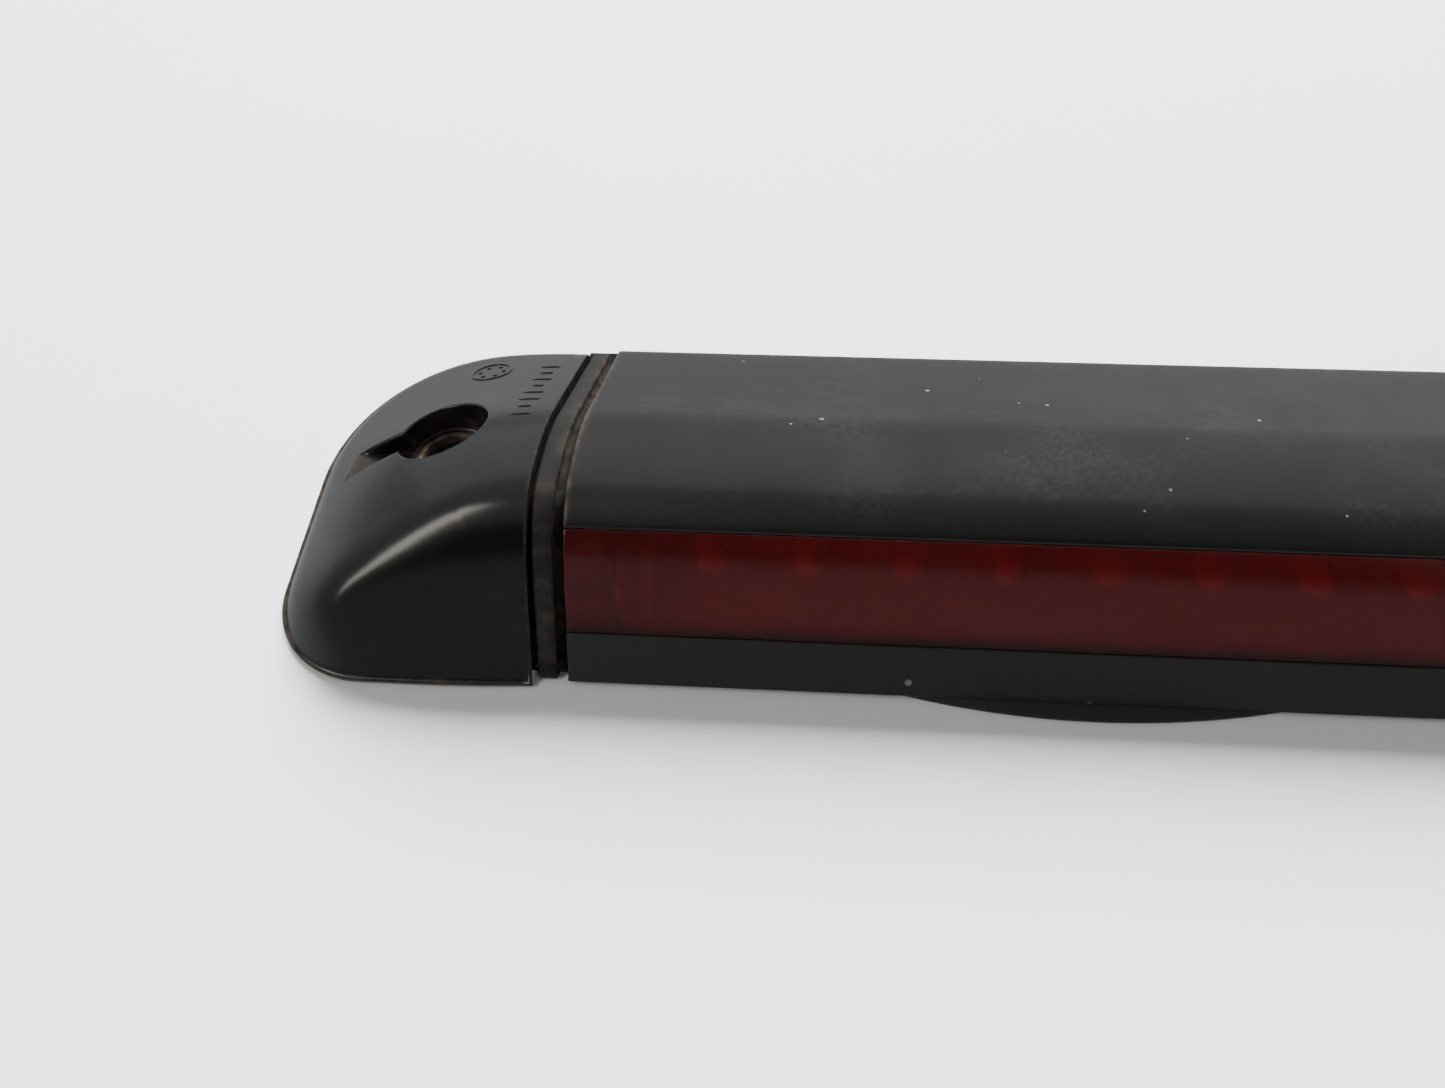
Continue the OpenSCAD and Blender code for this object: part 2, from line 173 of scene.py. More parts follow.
def cap_wall_z(q, y, sink=0):
    """Height of the wall that leans in from a cap's outline: slope times distance inside it."""
    front_turn = np.arctan2(q - CORNER[0], CORNER[1] - y) / (np.pi / 2)
    front = (FRONT_TAN + (SIDE_TAN - FRONT_TAN) * front_turn) * (
        FRONT_R - sink - np.hypot(q - CORNER[0], y - CORNER[1]))
    back_turn = np.arctan2(y - SWEEP[1], q - SWEEP[0]) / (np.pi / 2)
    back = (SIDE_TAN + (BACK_TAN - SIDE_TAN) * back_turn) * (
        BACK_R - sink - np.hypot(q - SWEEP[0], y - SWEEP[1]))
    straight = np.minimum(FRONT_TAN * (y + swell(q) - sink), SIDE_TAN * (CAP_L - q - sink))
    straight = np.minimum(straight, BACK_TAN * (BAR_D - BACK_IN - y - sink))
    at_corner = (q > CORNER[0]) & (y < CORNER[1])
    at_sweep = (q > SWEEP[0]) & (y > SWEEP[1])
    return np.where(at_corner, front, np.where(at_sweep, back, straight))


def cap_raw_z(q, y, sink):
    """Height of a cap: the roof eased down to the outline, blended with the leaning wall."""
    reach = np.maximum(cap_reach(y), q + 0.01)
    t = np.clip((q - SWELL_FROM) / (reach - SWELL_FROM), 0, 1)
    top = DOME_EDGE + (roof_z(y) - DOME_EDGE) * (1 - t ** DOME_POWER) - sink * 1.15
    return soft_min(cap_wall_z(q, y, sink * 0.85), top, ROUND_SHARE * np.maximum(top, 0.01))


def cap_z(q, y, sink=0):
    """Height of a cap, averaged over a small disc so that its parts meet without a seam."""
    total = cap_raw_z(q, y, sink)
    for r in (1.3, 2.6):
        for turn in np.linspace(0, 2 * np.pi, 8, endpoint=False):
            total = total + cap_raw_z(q + r * math.cos(turn), y + r * math.sin(turn), sink)
    return total / 17


# ---------------------------------------------------------------- mesh making

def add_piece(name, verts, faces, finish, stands_for=(), slot=None, smooth=True):
    """Makes a mesh piece from millimetre points, turned outwards by the sign of its volume."""
    mesh = bpy.data.meshes.new(name)
    mesh.from_pydata((np.asarray(verts) * MM).tolist(), [], faces)
    mesh.validate()
    mesh.update()
    mesh.calc_loop_triangles()
    tri = np.empty(len(mesh.loop_triangles) * 3, dtype=np.int32)
    mesh.loop_triangles.foreach_get("vertices", tri)
    a, b, c = np.moveaxis(np.asarray(verts)[tri.reshape(-1, 3)], 1, 0)
    if np.einsum("ij,ij->i", a, np.cross(b, c)).sum() < 0:
        mesh.flip_normals()
    mesh.polygons.foreach_set("use_smooth", np.full(len(mesh.polygons), smooth))
    piece = bpy.data.objects.new(name, mesh)
    bpy.context.scene.collection.objects.link(piece)
    mesh.materials.append(finish)
    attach(piece, "root")
    if stands_for:
        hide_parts(*stands_for)
    return piece


def grid_faces(rows, cols, wrap_rows=False, wrap_cols=False, start=0):
    """Quads of a grid of points numbered row by row, joined round where it wraps."""
    i = np.arange(rows if wrap_rows else rows - 1)[:, None]
    j = np.arange(cols if wrap_cols else cols - 1)[None, :]
    i2 = (i + 1) % rows
    j2 = (j + 1) % cols
    quads = np.stack([i * cols + j, i * cols + j2, i2 * cols + j2, i2 * cols + j], axis=-1)
    return (quads.reshape(-1, 4) + start).tolist()


def tube_faces(rings, count, start=0):
    """Quads round a stack of closed rings, with one flat face on each end."""
    quads = grid_faces(rings, count, wrap_cols=True, start=start)
    first = list(range(start + count - 1, start - 1, -1))
    last = list(range(start + (rings - 1) * count, start + rings * count))
    return quads + [first, last]


def rounded_loop(lines, radii, steps=7):
    """A closed outline from lines that meet at corners, each corner eased by a Bezier arc.

    Line i runs into line i + 1 at a corner of size radii[i]; both are trimmed to that
    distance, or nearly half of a short line, and a curve pulled to the corner joins them.
    """
    t = np.linspace(0, 1, steps)[1:-1, None]
    trimmed = []
    for i, line in enumerate(lines):
        line = np.asarray(line, dtype=float)
        most = 0.45 * np.linalg.norm(line[-1] - line[0])
        for end, r in ((0, min(radii[i - 1], most)), (-1, min(radii[i], most))):
            corner = line[end]
            far = np.linalg.norm(line - corner, axis=1) > r
            nearest = line[far][0 if end == 0 else -1]
            step = corner + (nearest - corner) * r / np.linalg.norm(nearest - corner)
            kept = line[far]
            line = np.vstack([step, kept]) if end == 0 else np.vstack([kept, step])
        trimmed.append(line)
    parts = []
    for i, line in enumerate(trimmed):
        following = trimmed[(i + 1) % len(trimmed)]
        corner = np.asarray(lines[i][-1], dtype=float)
        bend = (1 - t) ** 2 * line[-1] + 2 * t * (1 - t) * corner + t ** 2 * following[0]
        parts += [line, bend]
    return np.vstack(parts)


def loop_normals(loop):
    """Unit normals of a closed flat outline, pointing out of it."""
    along = np.roll(loop, -1, axis=0) - np.roll(loop, 1, axis=0)
    normal = np.stack([along[:, 1], -along[:, 0]], axis=1)
    normal /= np.maximum(np.linalg.norm(normal, axis=1, keepdims=True), 1e-9)
    x, y = loop.T
    turning = np.sum(x * np.roll(y, -1) - np.roll(x, -1) * y)
    return normal if turning > 0 else -normal


def end_rounding(length, r, steps=5):
    """Distances along a bar and the inset of its outline there: a quarter circle on each end."""
    turn = np.linspace(np.pi / 2, 0, steps)
    along = np.concatenate([[0], r * (1 - np.sin(turn))])
    inset = np.concatenate([[r + 0.15], r * (1 - np.cos(turn))])
    middle = np.linspace(r + 9, length - r - 9, int(length / 12)) if length > 40 else np.empty(0)
    near = r + np.array([0.4, 0.9, 1.6, 3]) if length > 40 else np.empty(0)
    middle = np.concatenate([near, middle, length - near[::-1]])
    return (np.concatenate([along, middle, length - along[::-1]]),
            np.concatenate([inset, np.zeros(len(middle)), inset[::-1]]))


def bar_rings(loop, x0, x1, r):
    """An outline carried along X from x0 to x1, drawn in at both ends to round their edges."""
    along, inset = end_rounding(x1 - x0, r)
    normal = loop_normals(loop)
    flat = loop[None] - inset[:, None, None] * normal[None]
    rings = np.empty((len(along), len(loop), 3))
    rings[..., 0] = (x0 + along)[:, None]
    rings[..., 1] = flat[..., 0] + FRONT_Y
    rings[..., 2] = flat[..., 1]
    return rings


def add_bar(name, loop, x0, x1, r, finish, **facts):
    """A piece with one section all along, from x0 to x1."""
    rings = bar_rings(loop, x0, x1, r)
    return add_piece(name, rings.reshape(-1, 3), tube_faces(*rings.shape[:2]), finish, **facts)


def lathe(profile, centre, count=48):
    """Points of a profile [radius, height] turned about a vertical line through centre."""
    turn = np.linspace(0, 2 * np.pi, count, endpoint=False)
    r, z = np.asarray(profile, dtype=float).T
    points = np.empty((len(r), count, 3))
    points[..., 0] = centre[0] + r[:, None] * np.cos(turn)
    points[..., 1] = centre[1] + r[:, None] * np.sin(turn)
    points[..., 2] = centre[2] + z[:, None]
    return points


def rounded_profile(corners, radii, steps=5):
    """An open profile through corners, each inner one eased by a Bezier arc of its radius."""
    corners = np.asarray(corners, dtype=float)
    t = np.linspace(0, 1, steps)[:, None]
    parts = [corners[:1]]
    for before, corner, after, r in zip(corners, corners[1:], corners[2:], radii):
        enter = corner + (before - corner) * r / np.linalg.norm(before - corner)
        leave = corner + (after - corner) * r / np.linalg.norm(after - corner)
        parts.append((1 - t) ** 2 * enter + 2 * t * (1 - t) * corner + t ** 2 * leave)
    return np.vstack(parts + [corners[-1:]])


def rounded_rect(half_w, half_d, r, count=6):
    """A rectangle in plan with rounded corners, as a closed loop."""
    turn = np.linspace(0, np.pi / 2, count)
    quarter = np.stack([np.cos(turn), np.sin(turn)], axis=1) * r
    loop = []
    for k, (sx, sy) in enumerate(((1, 1), (-1, 1), (-1, -1), (1, -1))):
        spin = np.array([[math.cos(k * np.pi / 2), -math.sin(k * np.pi / 2)],
                         [math.sin(k * np.pi / 2), math.cos(k * np.pi / 2)]])
        loop.append(quarter @ spin.T + [sx * (half_w - r), sy * (half_d - r)])
    return np.vstack(loop)


def block_rings(centre, stations, count=6):
    """Rounded rectangles stacked up: each station is half width, half depth, radius, height."""
    rings = []
    for half_w, half_d, r, z in stations:
        flat = rounded_rect(half_w, half_d, r, count)
        rings.append(np.column_stack([flat + centre[:2], np.full(len(flat), z)]))
    return np.array(rings)


def join_parts(parts):
    """Several closed stacks of rings as one list of points and faces."""
    verts, faces, start = [], [], 0
    for rings in parts:
        verts.append(rings.reshape(-1, 3))
        faces += tube_faces(*rings.shape[:2], start=start)
        start += rings.shape[0] * rings.shape[1]
    return np.vstack(verts), faces


# ---------------------------------------------------------------- shader effects

def new_effect(name, inputs, outputs):
    """An empty shader group with its number sockets, and its input and output nodes."""
    group = bpy.data.node_groups.new(name, "ShaderNodeTree")
    for label, value in inputs:
        socket = group.interface.new_socket(label, in_out="INPUT", socket_type="NodeSocketFloat")
        socket.default_value = value
    for label in outputs:
        group.interface.new_socket(label, in_out="OUTPUT", socket_type="NodeSocketFloat")
    return group, group.nodes.new("NodeGroupInput"), group.nodes.new("NodeGroupOutput")


def math_node(tree, operation, a, b=None, clamp=False):
    """A Math node on two values or sockets; returns its output."""
    node = tree.nodes.new("ShaderNodeMath")
    node.operation = operation
    node.use_clamp = clamp
    for socket, value in zip(node.inputs, (a, b)):
        if isinstance(value, bpy.types.NodeSocket):
            tree.links.new(value, socket)
        elif value is not None:
            socket.default_value = value
    return node.outputs[0]


def step_node(tree, value, low, high):
    """A soft step from 0 at low to 1 at high."""
    node = tree.nodes.new("ShaderNodeMapRange")
    node.interpolation_type = "SMOOTHSTEP"
    for socket, part in ((node.inputs["Value"], value), (node.inputs["From Min"], low),
                         (node.inputs["From Max"], high)):
        if isinstance(part, bpy.types.NodeSocket):
            tree.links.new(part, socket)
        else:
            socket.default_value = part
    return node.outputs["Result"]


def noise_node(tree, scale, detail=4, stretch=(1, 1, 1), shift=0.0):
    """Noise over Object coordinates, in features per metre, drawn out along an axis."""
    place = tree.nodes.new("ShaderNodeTexCoord")
    turn = tree.nodes.new("ShaderNodeMapping")
    turn.inputs["Scale"].default_value = stretch
    turn.inputs["Location"].default_value = (shift, shift * 0.7, shift * 1.3)
    noise = tree.nodes.new("ShaderNodeTexNoise")
    noise.inputs["Detail"].default_value = detail
    tree.links.new(place.outputs["Object"], turn.inputs["Vector"])
    tree.links.new(turn.outputs["Vector"], noise.inputs["Vector"])
    if isinstance(scale, bpy.types.NodeSocket):
        tree.links.new(scale, noise.inputs["Scale"])
    else:
        noise.inputs["Scale"].default_value = scale
    return noise.outputs["Fac"]


def make_film_effect():
    """Dust film: broad patches broken up by fine noise, 0 where clean."""
    group, take, give = new_effect("dust_film", [("Amount", 0.3), ("Scale", 60)], ["Mask"])
    broad = noise_node(group, take.outputs["Scale"], 5)
    fine = noise_node(group, 1400, 3, shift=0.4)
    patch = step_node(group, broad, 0.35, 0.75)
    grit = step_node(group, fine, 0.3, 0.7)
    both = math_node(group, "MULTIPLY", patch, grit)
    some = math_node(group, "ADD", math_node(group, "MULTIPLY", both, 0.8), 0.12)
    out = math_node(group, "MULTIPLY", some, take.outputs["Amount"], clamp=True)
    group.links.new(out, give.inputs["Mask"])
    return group


def make_speck_effect():
    """Specks: a dot at a cell's centre in some cells, of a size that varies from cell to cell."""
    group, take, give = new_effect(
        "specks", [("Scale", 220), ("Size", 0.12), ("Share", 0.1)], ["Mask", "Shade"])
    place = group.nodes.new("ShaderNodeTexCoord")
    cells = group.nodes.new("ShaderNodeTexVoronoi")
    group.links.new(place.outputs["Object"], cells.inputs["Vector"])
    group.links.new(take.outputs["Scale"], cells.inputs["Scale"])
    parts = group.nodes.new("ShaderNodeSeparateColor")
    group.links.new(cells.outputs["Color"], parts.inputs["Color"])
    chosen = math_node(group, "LESS_THAN", parts.outputs["Red"], take.outputs["Share"])
    size = math_node(group, "MULTIPLY", parts.outputs["Green"], take.outputs["Size"])
    near = math_node(group, "LESS_THAN", cells.outputs["Distance"], size)
    group.links.new(math_node(group, "MULTIPLY", chosen, near), give.inputs["Mask"])
    group.links.new(parts.outputs["Blue"], give.inputs["Shade"])
    return group


def make_scuff_effect():
    """Scuffs: thin bright ridges of noise drawn out along X, kept only in broad patches."""
    group, take, give = new_effect("scuffs", [("Amount", 0.3), ("Scale", 90)], ["Mask"])
    ridge = noise_node(group, take.outputs["Scale"], 6, stretch=(1, 5, 5), shift=0.2)
    line = math_node(group, "ABSOLUTE", math_node(group, "SUBTRACT", ridge, 0.5))
    thin = math_node(group, "SUBTRACT", 1, step_node(group, line, 0.002, 0.02))
    patch = step_node(group, noise_node(group, 35, 3, shift=0.9), 0.5, 0.68)
    mask = math_node(group, "MULTIPLY", math_node(group, "MULTIPLY", thin, patch),
                     take.outputs["Amount"], clamp=True)
    group.links.new(mask, give.inputs["Mask"])
    return group


def make_grain_effect():
    """Moulded grain: fine noise plus the faint long waves of a moulded skin, as a height."""
    group, take, give = new_effect("moulded_grain", [("Scale", 2500), ("Wave", 0.4)], ["Height"])
    fine = noise_node(group, take.outputs["Scale"], 2)
    wave = noise_node(group, 55, 1, stretch=(0.5, 1, 1), shift=0.6)
    height = math_node(group, "ADD", math_node(group, "MULTIPLY", fine, 0.12),
                       math_node(group, "MULTIPLY", wave, take.outputs["Wave"]))
    group.links.new(height, give.inputs["Height"])
    return group


FILM = make_film_effect()
SPECKS = make_speck_effect()
SCUFFS = make_scuff_effect()
GRAIN = make_grain_effect()


def place_effect(tree, group, **values):
    """Puts a shader group into a material with its own values, and returns the node."""
    node = tree.nodes.new("ShaderNodeGroup")
    node.node_tree = group
    for label, value in values.items():
        node.inputs[label.capitalize()].default_value = value
    return node


def mix_colour(tree, share, a, b):
    """Colour a where share is 0 and b where it is 1."""
    node = tree.nodes.new("ShaderNodeMix")
    node.data_type = "RGBA"
    tree.links.new(share, node.inputs["Factor"])
    for socket, value in ((node.inputs["A"], a), (node.inputs["B"], b)):
        if isinstance(value, bpy.types.NodeSocket):
            tree.links.new(value, socket)
        else:
            socket.default_value = (*value, 1)
    return node.outputs["Result"]


def mix_value(tree, share, a, b):
    """Value a where share is 0 and b where it is 1."""
    node = tree.nodes.new("ShaderNodeMix")
    tree.links.new(share, node.inputs["Factor"])
    for socket, value in ((node.inputs["A"], a), (node.inputs["B"], b)):
        if isinstance(value, bpy.types.NodeSocket):
            tree.links.new(value, socket)
        else:
            socket.default_value = value
    return node.outputs["Result"]


def height_to_normal(tree, shader, height, strength, distance):
    """Feeds a height through a Bump node to a shader's Normal."""
    bump = tree.nodes.new("ShaderNodeBump")
    bump.inputs["Strength"].default_value = strength
    bump.inputs["Distance"].default_value = distance
    tree.links.new(height, bump.inputs["Height"])
    tree.links.new(bump.outputs["Normal"], shader.inputs["Normal"])


def new_finish(name):
    """A material with its Principled shader."""
    finish = bpy.data.materials.new(name)
    finish.use_nodes = True
    return finish, finish.node_tree, finish.node_tree.nodes["Principled BSDF"]


def plastic(name, colour, rough, film=0.2, film_colour=(0.3, 0.27, 0.23), film_scale=60, specks=0.05,
            speck_size=0.13, scuffs=0.1, grain=0.15, wave=0.0, dirt=False, specular=0.5):
    """Moulded plastic or rubber: colour under a dust film, specks, scuffs and moulded grain.

    With dirt, the piece's own "dirt" attribute lays brown grime where the mesh says so.
    """
    finish, tree, shader = new_finish(name)
    dust = place_effect(tree, FILM, amount=film, scale=film_scale)
    dots = place_effect(tree, SPECKS, share=specks, size=speck_size)
    lines = place_effect(tree, SCUFFS, amount=scuffs)
    skin = place_effect(tree, GRAIN, wave=wave)
    tone = mix_colour(tree, noise_node(tree, 25, 3, shift=0.3), tuple(c * 0.85 for c in colour),
                      tuple(c * 1.15 for c in colour))
    dusty = mix_colour(tree, dust.outputs["Mask"], tone, film_colour)
    dotted = mix_colour(tree, dots.outputs["Mask"], dusty,
                        mix_colour(tree, dots.outputs["Shade"], (0.05, 0.04, 0.03), (0.2, 0.18, 0.15)))
    worn = mix_colour(tree, lines.outputs["Mask"], dotted, tuple(0.6 * c + 0.12 for c in colour))
    matte = mix_value(tree, dust.outputs["Mask"], rough, 0.85)
    matte = mix_value(tree, dots.outputs["Mask"], matte, 0.9)
    if dirt:
        mark = tree.nodes.new("ShaderNodeAttribute")
        mark.attribute_name = "dirt"
        patchy = step_node(tree, noise_node(tree, 420, 5, shift=0.8), 0.25, 0.7)
        grime = math_node(tree, "MULTIPLY", mark.outputs["Fac"],
                          math_node(tree, "ADD", math_node(tree, "MULTIPLY", patchy, 0.6), 0.4), clamp=True)
        brown = mix_colour(tree, patchy, (0.03, 0.021, 0.014), (0.19, 0.135, 0.088))
        worn = mix_colour(tree, grime, worn, brown)
        matte = mix_value(tree, grime, matte, 0.9)
    tree.links.new(worn, shader.inputs["Base Color"])
    tree.links.new(matte, shader.inputs["Roughness"])
    shader.inputs["Specular IOR Level"].default_value = specular
    height_to_normal(tree, shader, skin.outputs["Height"], grain, 0.0002)
    return finish


def metal(name, colour, rough, tarnish=(0.1, 0.08, 0.06), dull=0.35):
    """Turned or plated metal: bright with dull patches and fine brushed lines."""
    finish, tree, shader = new_finish(name)
    dust = place_effect(tree, FILM, amount=dull, scale=160)
    skin = place_effect(tree, GRAIN, scale=1800)
    tree.links.new(mix_colour(tree, dust.outputs["Mask"], colour, tarnish), shader.inputs["Base Color"])
    tree.links.new(mix_value(tree, dust.outputs["Mask"], rough, 0.8), shader.inputs["Roughness"])
    shader.inputs["Metallic"].default_value = 1
    height_to_normal(tree, shader, skin.outputs["Height"], 0.2, 0.0001)
    return finish


def tinted_glass(name, colour, shadow_colour, rough, film=0.1, haze=(0.24, 0.1, 0.1), clear=1, edge=None):
    """Clear tinted plastic under a thin dust film; lamps reach through it by its shadow tint.

    With an edge colour, the piece's own "dirt" attribute fades the tint towards it.
    """
    finish, tree, shader = new_finish(name)
    dust = place_effect(tree, FILM, amount=film, scale=45)
    dots = place_effect(tree, SPECKS, share=0.16, size=0.12)
    stain = mix_colour(tree, dust.outputs["Mask"], colour, haze)
    stain = mix_colour(tree, dots.outputs["Mask"], stain, (0.2, 0.12, 0.1))
    if edge:
        mark = tree.nodes.new("ShaderNodeAttribute")
        mark.attribute_name = "dirt"
        stain = mix_colour(tree, mark.outputs["Fac"], stain, edge)
    tree.links.new(stain, shader.inputs["Base Color"])
    tree.links.new(mix_value(tree, dust.outputs["Mask"], rough, 0.5), shader.inputs["Roughness"])
    shader.inputs["Transmission Weight"].default_value = clear
    shader.inputs["IOR"].default_value = 1.49
    through = tree.nodes.new("ShaderNodeBsdfTransparent")
    through.inputs["Color"].default_value = (*shadow_colour, 1)
    path = tree.nodes.new("ShaderNodeLightPath")
    mix = tree.nodes.new("ShaderNodeMixShader")
    tree.links.new(path.outputs["Is Shadow Ray"], mix.inputs["Fac"])
    tree.links.new(shader.outputs["BSDF"], mix.inputs[1])
    tree.links.new(through.outputs["BSDF"], mix.inputs[2])
    tree.links.new(mix.outputs["Shader"], tree.nodes["Material Output"].inputs["Surface"])
    return finish


COVER_BLACK = plastic("cover_black", (0.0045, 0.0043, 0.0042), 0.34, film=0.12,
                      film_colour=(0.07, 0.06, 0.052), specks=0.2, speck_size=0.09, scuffs=0.03,
                      grain=0.12, wave=0.2, dirt=True)
CAP_BLACK = plastic("cap_black", (0.005, 0.005, 0.0054), 0.2, film=0.05, film_colour=(0.08, 0.072, 0.062),
                    specks=0.16, scuffs=0.06, grain=0.08, wave=0.3, dirt=True)
STRIP_BLACK = plastic("strip_black", (0.008, 0.008, 0.008), 0.5, film=0.1, film_colour=(0.06, 0.055, 0.05),
                      specks=0.25, scuffs=0.03, grain=0.3)
GASKET_RUBBER = plastic("gasket_rubber", (0.009, 0.009, 0.0088), 0.7, film=0.02,
                        film_colour=(0.07, 0.062, 0.055), specks=0.05, scuffs=0.03, grain=0.5,
                        dirt=True, specular=0.22)
PAD_RUBBER = plastic("pad_rubber", (0.009, 0.009, 0.009), 0.7, film=0.15, film_colour=(0.06, 0.055, 0.05),
                     specks=0.06, scuffs=0, grain=1)
HOUSING_BLACK = plastic("housing_black", (0.02, 0.02, 0.02), 0.55, film=0.2, film_colour=(0.08, 0.075, 0.07),
                        specks=0.05, grain=0.7)
HOLDER_RED = plastic("holder_red", (0.55, 0.16, 0.15), 0.4, film=0.1, film_colour=(0.3, 0.1, 0.08),
                     specks=0, scuffs=0, grain=0.2)
BOARD_GREEN = plastic("board_green", (0.03, 0.16, 0.05), 0.4, film=0.1, specks=0, scuffs=0, grain=0.3)
COMPONENT_BLACK = plastic("component_black", (0.02, 0.02, 0.022), 0.45, film=0.1, specks=0, grain=0.4)
SOCKET_GREY = plastic("socket_grey", (0.06, 0.06, 0.065), 0.5, film=0.25, specks=0.04, grain=0.5)
VENT_GREY = plastic("vent_grey", (0.1, 0.1, 0.1), 0.55, film=0.25, specks=0.04, grain=0.5)
LEAD_RED = plastic("lead_red", (0.35, 0.02, 0.02), 0.4, film=0.1, specks=0, scuffs=0, grain=0.2)
COLLAR_METAL = metal("collar_metal", (0.5, 0.45, 0.38), 0.6, tarnish=(0.3, 0.23, 0.16), dull=0.95)
SCREW_STEEL = metal("screw_steel", (0.6, 0.6, 0.62), 0.3)
CONTACT_BRASS = metal("contact_brass", (0.78, 0.6, 0.32), 0.28, dull=0.25)
WINDOW_RED = tinted_glass("window_red", (0.36, 0.045, 0.05), (0.5, 0.05, 0.055), 0.13, film=0.3, clear=0.9,
                          edge=(0.03, 0.006, 0.007))
LED_RED = tinted_glass("led_red", (0.95, 0.5, 0.42), (0.8, 0.2, 0.2), 0.05, film=0, clear=0.1)

for node, finish in (
        ("base_plate", HOUSING_BLACK), ("led_holder", HOLDER_RED), ("led_board", BOARD_GREEN),
        ("led_resistors", COMPONENT_BLACK), ("driver_chips", COMPONENT_BLACK),
        ("board_screws", SCREW_STEEL), ("end_bracket_left", HOUSING_BLACK),
        ("end_bracket_right", HOUSING_BLACK), ("jumper_leads", LEAD_RED)):
    nodes[node].data.materials.clear()
    nodes[node].data.materials.append(finish)


# ---------------------------------------------------------------- the bar

def add_dirt(piece, amount):
    """Writes how much grime lies at each point of a piece, for its material to read; on the gasket rings part
    of it is painted light.
    """
    layer = piece.data.attributes.new("dirt", "FLOAT", "POINT")
    layer.data.foreach_set("value", np.clip(amount, 0, 1).astype(np.float32))


def points_mm(piece):
    """A piece's vertices in millimetres, one row each."""
    points = np.empty(len(piece.data.vertices) * 3)
    piece.data.vertices.foreach_get("co", points)
    return points.reshape(-1, 3) / MM


def make_cover():
    """The roof: from the window's edge over the crest to a thick foot along the back."""
    back_y = (ROOF_TURN_Z + math.tan(ROOF_FALL) * ROOF_TURN_Y - BACK_TAN * BAR_D) / (
        math.tan(ROOF_FALL) - BACK_TAN)
    back_z = BACK_TAN * (BAR_D - back_y)
    foot_y = BAR_D - BAR_FOOT / BACK_TAN
    inner_y = box_mm("base_plate")[1][1] - FRONT_Y + 0.3
    outer = np.vstack([face_line(WINDOW_Y[1], back_y - 0.01, 0, 120), [[back_y, back_z]]])
    inner = face_line(inner_y - 1.1, WINDOW_Y[1], SKIN, 90)
    loop = rounded_loop([
        outer,
        [[back_y, back_z], [foot_y, BAR_FOOT]],
        [[foot_y, BAR_FOOT], [inner_y, BAR_FOOT]],
        [[inner_y, BAR_FOOT], inner[0]],
        inner,
        [inner[-1], outer[0]],
    ], [2.4, 0.35, 0.3, 0.6, 0.3, 0.7])
    cover = add_bar("cover_shell", loop, -HALF_L, HALF_L, 0.35, COVER_BLACK,
                    stands_for=["cover"], slot="cover_black")
    x, y, _ = points_mm(cover).T
    end = 1 - np.clip((HALF_L - np.abs(x) - 0.2) / 0.7, 0, 1)
    back = np.clip((y - FRONT_Y - 62) / 8, 0, 1) ** 2
    add_dirt(cover, 0.2 * end + 0.08 * back)
    return cover


def make_window():
    """The red window, set a little under the roof's edge and thinned behind the strip."""
    low, high = WINDOW_Y
    foot = [[(BAR_FOOT + d * math.hypot(1, FRONT_TAN)) / FRONT_TAN, BAR_FOOT] for d in (SKIN, SKIN / 2)]
    step = face_line(low, low + 0.01, SKIN / 2, 2)[0]
    outer = face_line(low, high - 0.05, 0.25, 70)
    inner = face_line(high - 0.05, low, SKIN, 60)
    loop = rounded_loop([
        outer,
        [outer[-1], inner[0]],
        np.vstack([inner, foot[:1]]),
        foot,
        [foot[1], step],
        [step, outer[0]],
    ], [0.2, 0.2, 0.25, 0.25, 0.2, 0.15])
    window = add_bar("window_strip", loop, -HALF_L, HALF_L, 0.3, WINDOW_RED, stands_for=["window"],
                     slot="window_red")
    up = points_mm(window)[:, 1] - FRONT_Y - low
    add_dirt(window, 0.9 * np.clip(1 - up / 2.2, 0, 1) ** 1.5)


def make_front_strip():
    """The matte band under the window, in front of the window's thinned foot."""
    top_y = WINDOW_Y[0] - 0.05
    inner_d = SKIN / 2 - 0.05
    foot = [[(BAR_FOOT + d * math.hypot(1, FRONT_TAN)) / FRONT_TAN, BAR_FOOT] for d in (inner_d, 0)]
    outer = face_line(foot[1][0], top_y, 0, 30)
    inner = face_line(top_y, top_y - 0.01, inner_d, 2)[:1]
    loop = rounded_loop([
        outer,
        [outer[-1], inner[0]],
        [inner[0], foot[0]],
        [foot[0], outer[0]],
    ], [0.25, 0.25, 0.25, 0.25])
    add_bar("front_band", loop, -HALF_L, HALF_L, 0.3, STRIP_BLACK, stands_for=["front_strip"],
            slot="strip_black")


def section_outline(sink, foot, count=150):
    """A closed outline of the whole bar's section, for the gasket's outer and inner edges."""
    top = face_line(1.2, BAR_D - 1.3, sink, count)
    top = top[top[:, 1] > foot + 0.6]
    front = [(foot + sink * math.hypot(1, FRONT_TAN)) / FRONT_TAN, foot]
    back = [top[-1][0] + 0.8, foot]
    loop = rounded_loop([
        np.vstack([[front], top]),
        [top[-1], back],
        [back, front],
    ], [0.7, 0.5, 0.8])
    span = np.concatenate([[0], np.cumsum(np.linalg.norm(np.diff(loop, axis=0, append=loop[:1]), axis=1))])
    at = np.linspace(0, span[-1], 400, endpoint=False)
    closed = np.vstack([loop, loop[:1]])
    return np.column_stack([np.interp(at, span, closed[:, k]) for k in (0, 1)])


